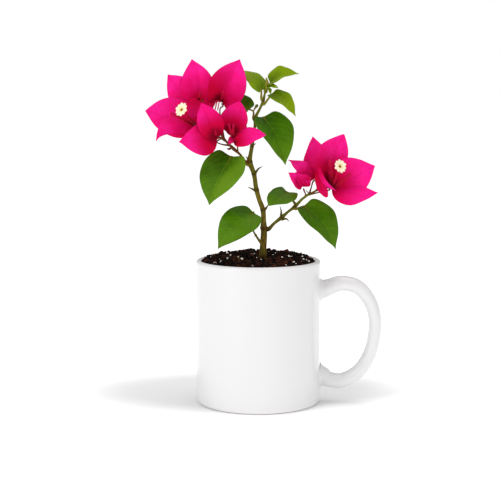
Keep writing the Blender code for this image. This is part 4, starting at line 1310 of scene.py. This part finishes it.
# %% The stage
WHITE = (1.0, 1.0, 1.0, 1.0)
FLOOR_SIZE = 6.0  # metres from the middle to each side
SHADE_SHAPE = (1.0, 1.7, 1.0)  # places are stretched by this before their distance is taken
SHADE_MIDDLE = (-0.010, 0.051, 0.0)  # in stretched metres
SHADE_NEAR, SHADE_FAR = 0.07, 0.155  # where the glow starts to grow and where it is full
GLOW_IN_SHADE, GLOW_FULL = 0.06, 0.56
TENT_STRENGTH = 0.53
floor_mesh = bpy.data.meshes.new("floor")
corners = [(x * FLOOR_SIZE, y * FLOOR_SIZE, 0.0) for x, y in ((-1, -1), (1, -1), (1, 1), (-1, 1))]
floor_mesh.from_pydata(corners, [], [(0, 1, 2, 3)])
floor = put_in_scene("floor", floor_mesh)


def make_glowing_sheet():
    """A white sheet whose glow grows by a smooth step of the distance from the shade's middle."""
    material, shader = new_material("glowing_sheet", "F4F4F4", 0.55, Specular_IOR_Level=0.2,
                                    Emission_Color=WHITE)
    place = add_node(material, "TexCoord", {}, "Object")
    oval = add_node(material, "VectorMath", {0: place, 1: SHADE_SHAPE}, operation="MULTIPLY")
    away = add_node(material, "VectorMath", {0: oval, 1: SHADE_MIDDLE}, "Value",
                    operation="DISTANCE")
    glow = add_node(material, "MapRange",
                    {"Value": away, "From Min": SHADE_NEAR, "From Max": SHADE_FAR,
                     "To Min": GLOW_IN_SHADE, "To Max": GLOW_FULL},
                    interpolation_type="SMOOTHSTEP")
    connect(shader, Emission_Strength=glow)
    return material


floor_mesh.materials.append(make_glowing_sheet())

world = bpy.data.worlds.new("light_tent")
bpy.context.scene.world = world
world.use_nodes = True
seen = add_node(world, "LightPath", {}, "Is Camera Ray")
tent = add_node(world, "Background", {"Color": WHITE, "Strength": TENT_STRENGTH})
backdrop = add_node(world, "Background", {"Color": WHITE})
light = add_node(world, "MixShader", {0: seen, 1: tent, 2: backdrop})
connect(world.node_tree.nodes["World Output"], Surface=light)


# %% The lamps
def soft_lamp(name, place, target, size, power):
    """A square area lamp that faces a target."""
    lamp = bpy.data.lights.new(name, "AREA")
    lamp.size, lamp.energy = size, power
    holder = put_in_scene(name, lamp)
    place, target = np.asarray(place, float), np.asarray(target, float)
    back = unit(place - target)
    right = unit(np.cross((0.0, 0.0, 1.0), back))
    turn = np.eye(4)
    turn[:3, 0], turn[:3, 1], turn[:3, 2], turn[:3, 3] = right, np.cross(back, right), back, place
    holder.matrix_world = turn.T.tolist()


MIDDLE = (0.0, 0.0, 0.12)  # the lamps' target; all of the stage is in metres
for name, place, size, power in (("key", (-0.75, -0.8, 0.95), 0.7, 4.5),
                                 ("fill", (0.95, -0.65, 0.42), 0.7, 1.2),
                                 ("low", (-0.9, -0.8, 0.12), 0.6, 2.0),
                                 ("top", (0.2, 0.1, 1.0), 0.6, 2.5)):
    soft_lamp(name, place, MIDDLE, size, power)

# %% The camera
LOOK_DOWN = math.radians(7.18)
DISTANCE = 0.914  # metres from the camera to the point that it looks at
AIM = (-0.0055, 0.0, 0.10175)
camera_data = bpy.data.cameras.new("camera")
camera_data.lens = 100
camera_data.sensor_width = 36
camera = put_in_scene("camera", camera_data)
camera.location = (AIM[0], AIM[1] - DISTANCE * math.cos(LOOK_DOWN),
                   AIM[2] + DISTANCE * math.sin(LOOK_DOWN))
camera.rotation_euler = (math.pi / 2 - LOOK_DOWN, 0.0, 0.0)
bpy.context.scene.camera = camera
bpy.context.scene.view_settings.view_transform = "Standard"
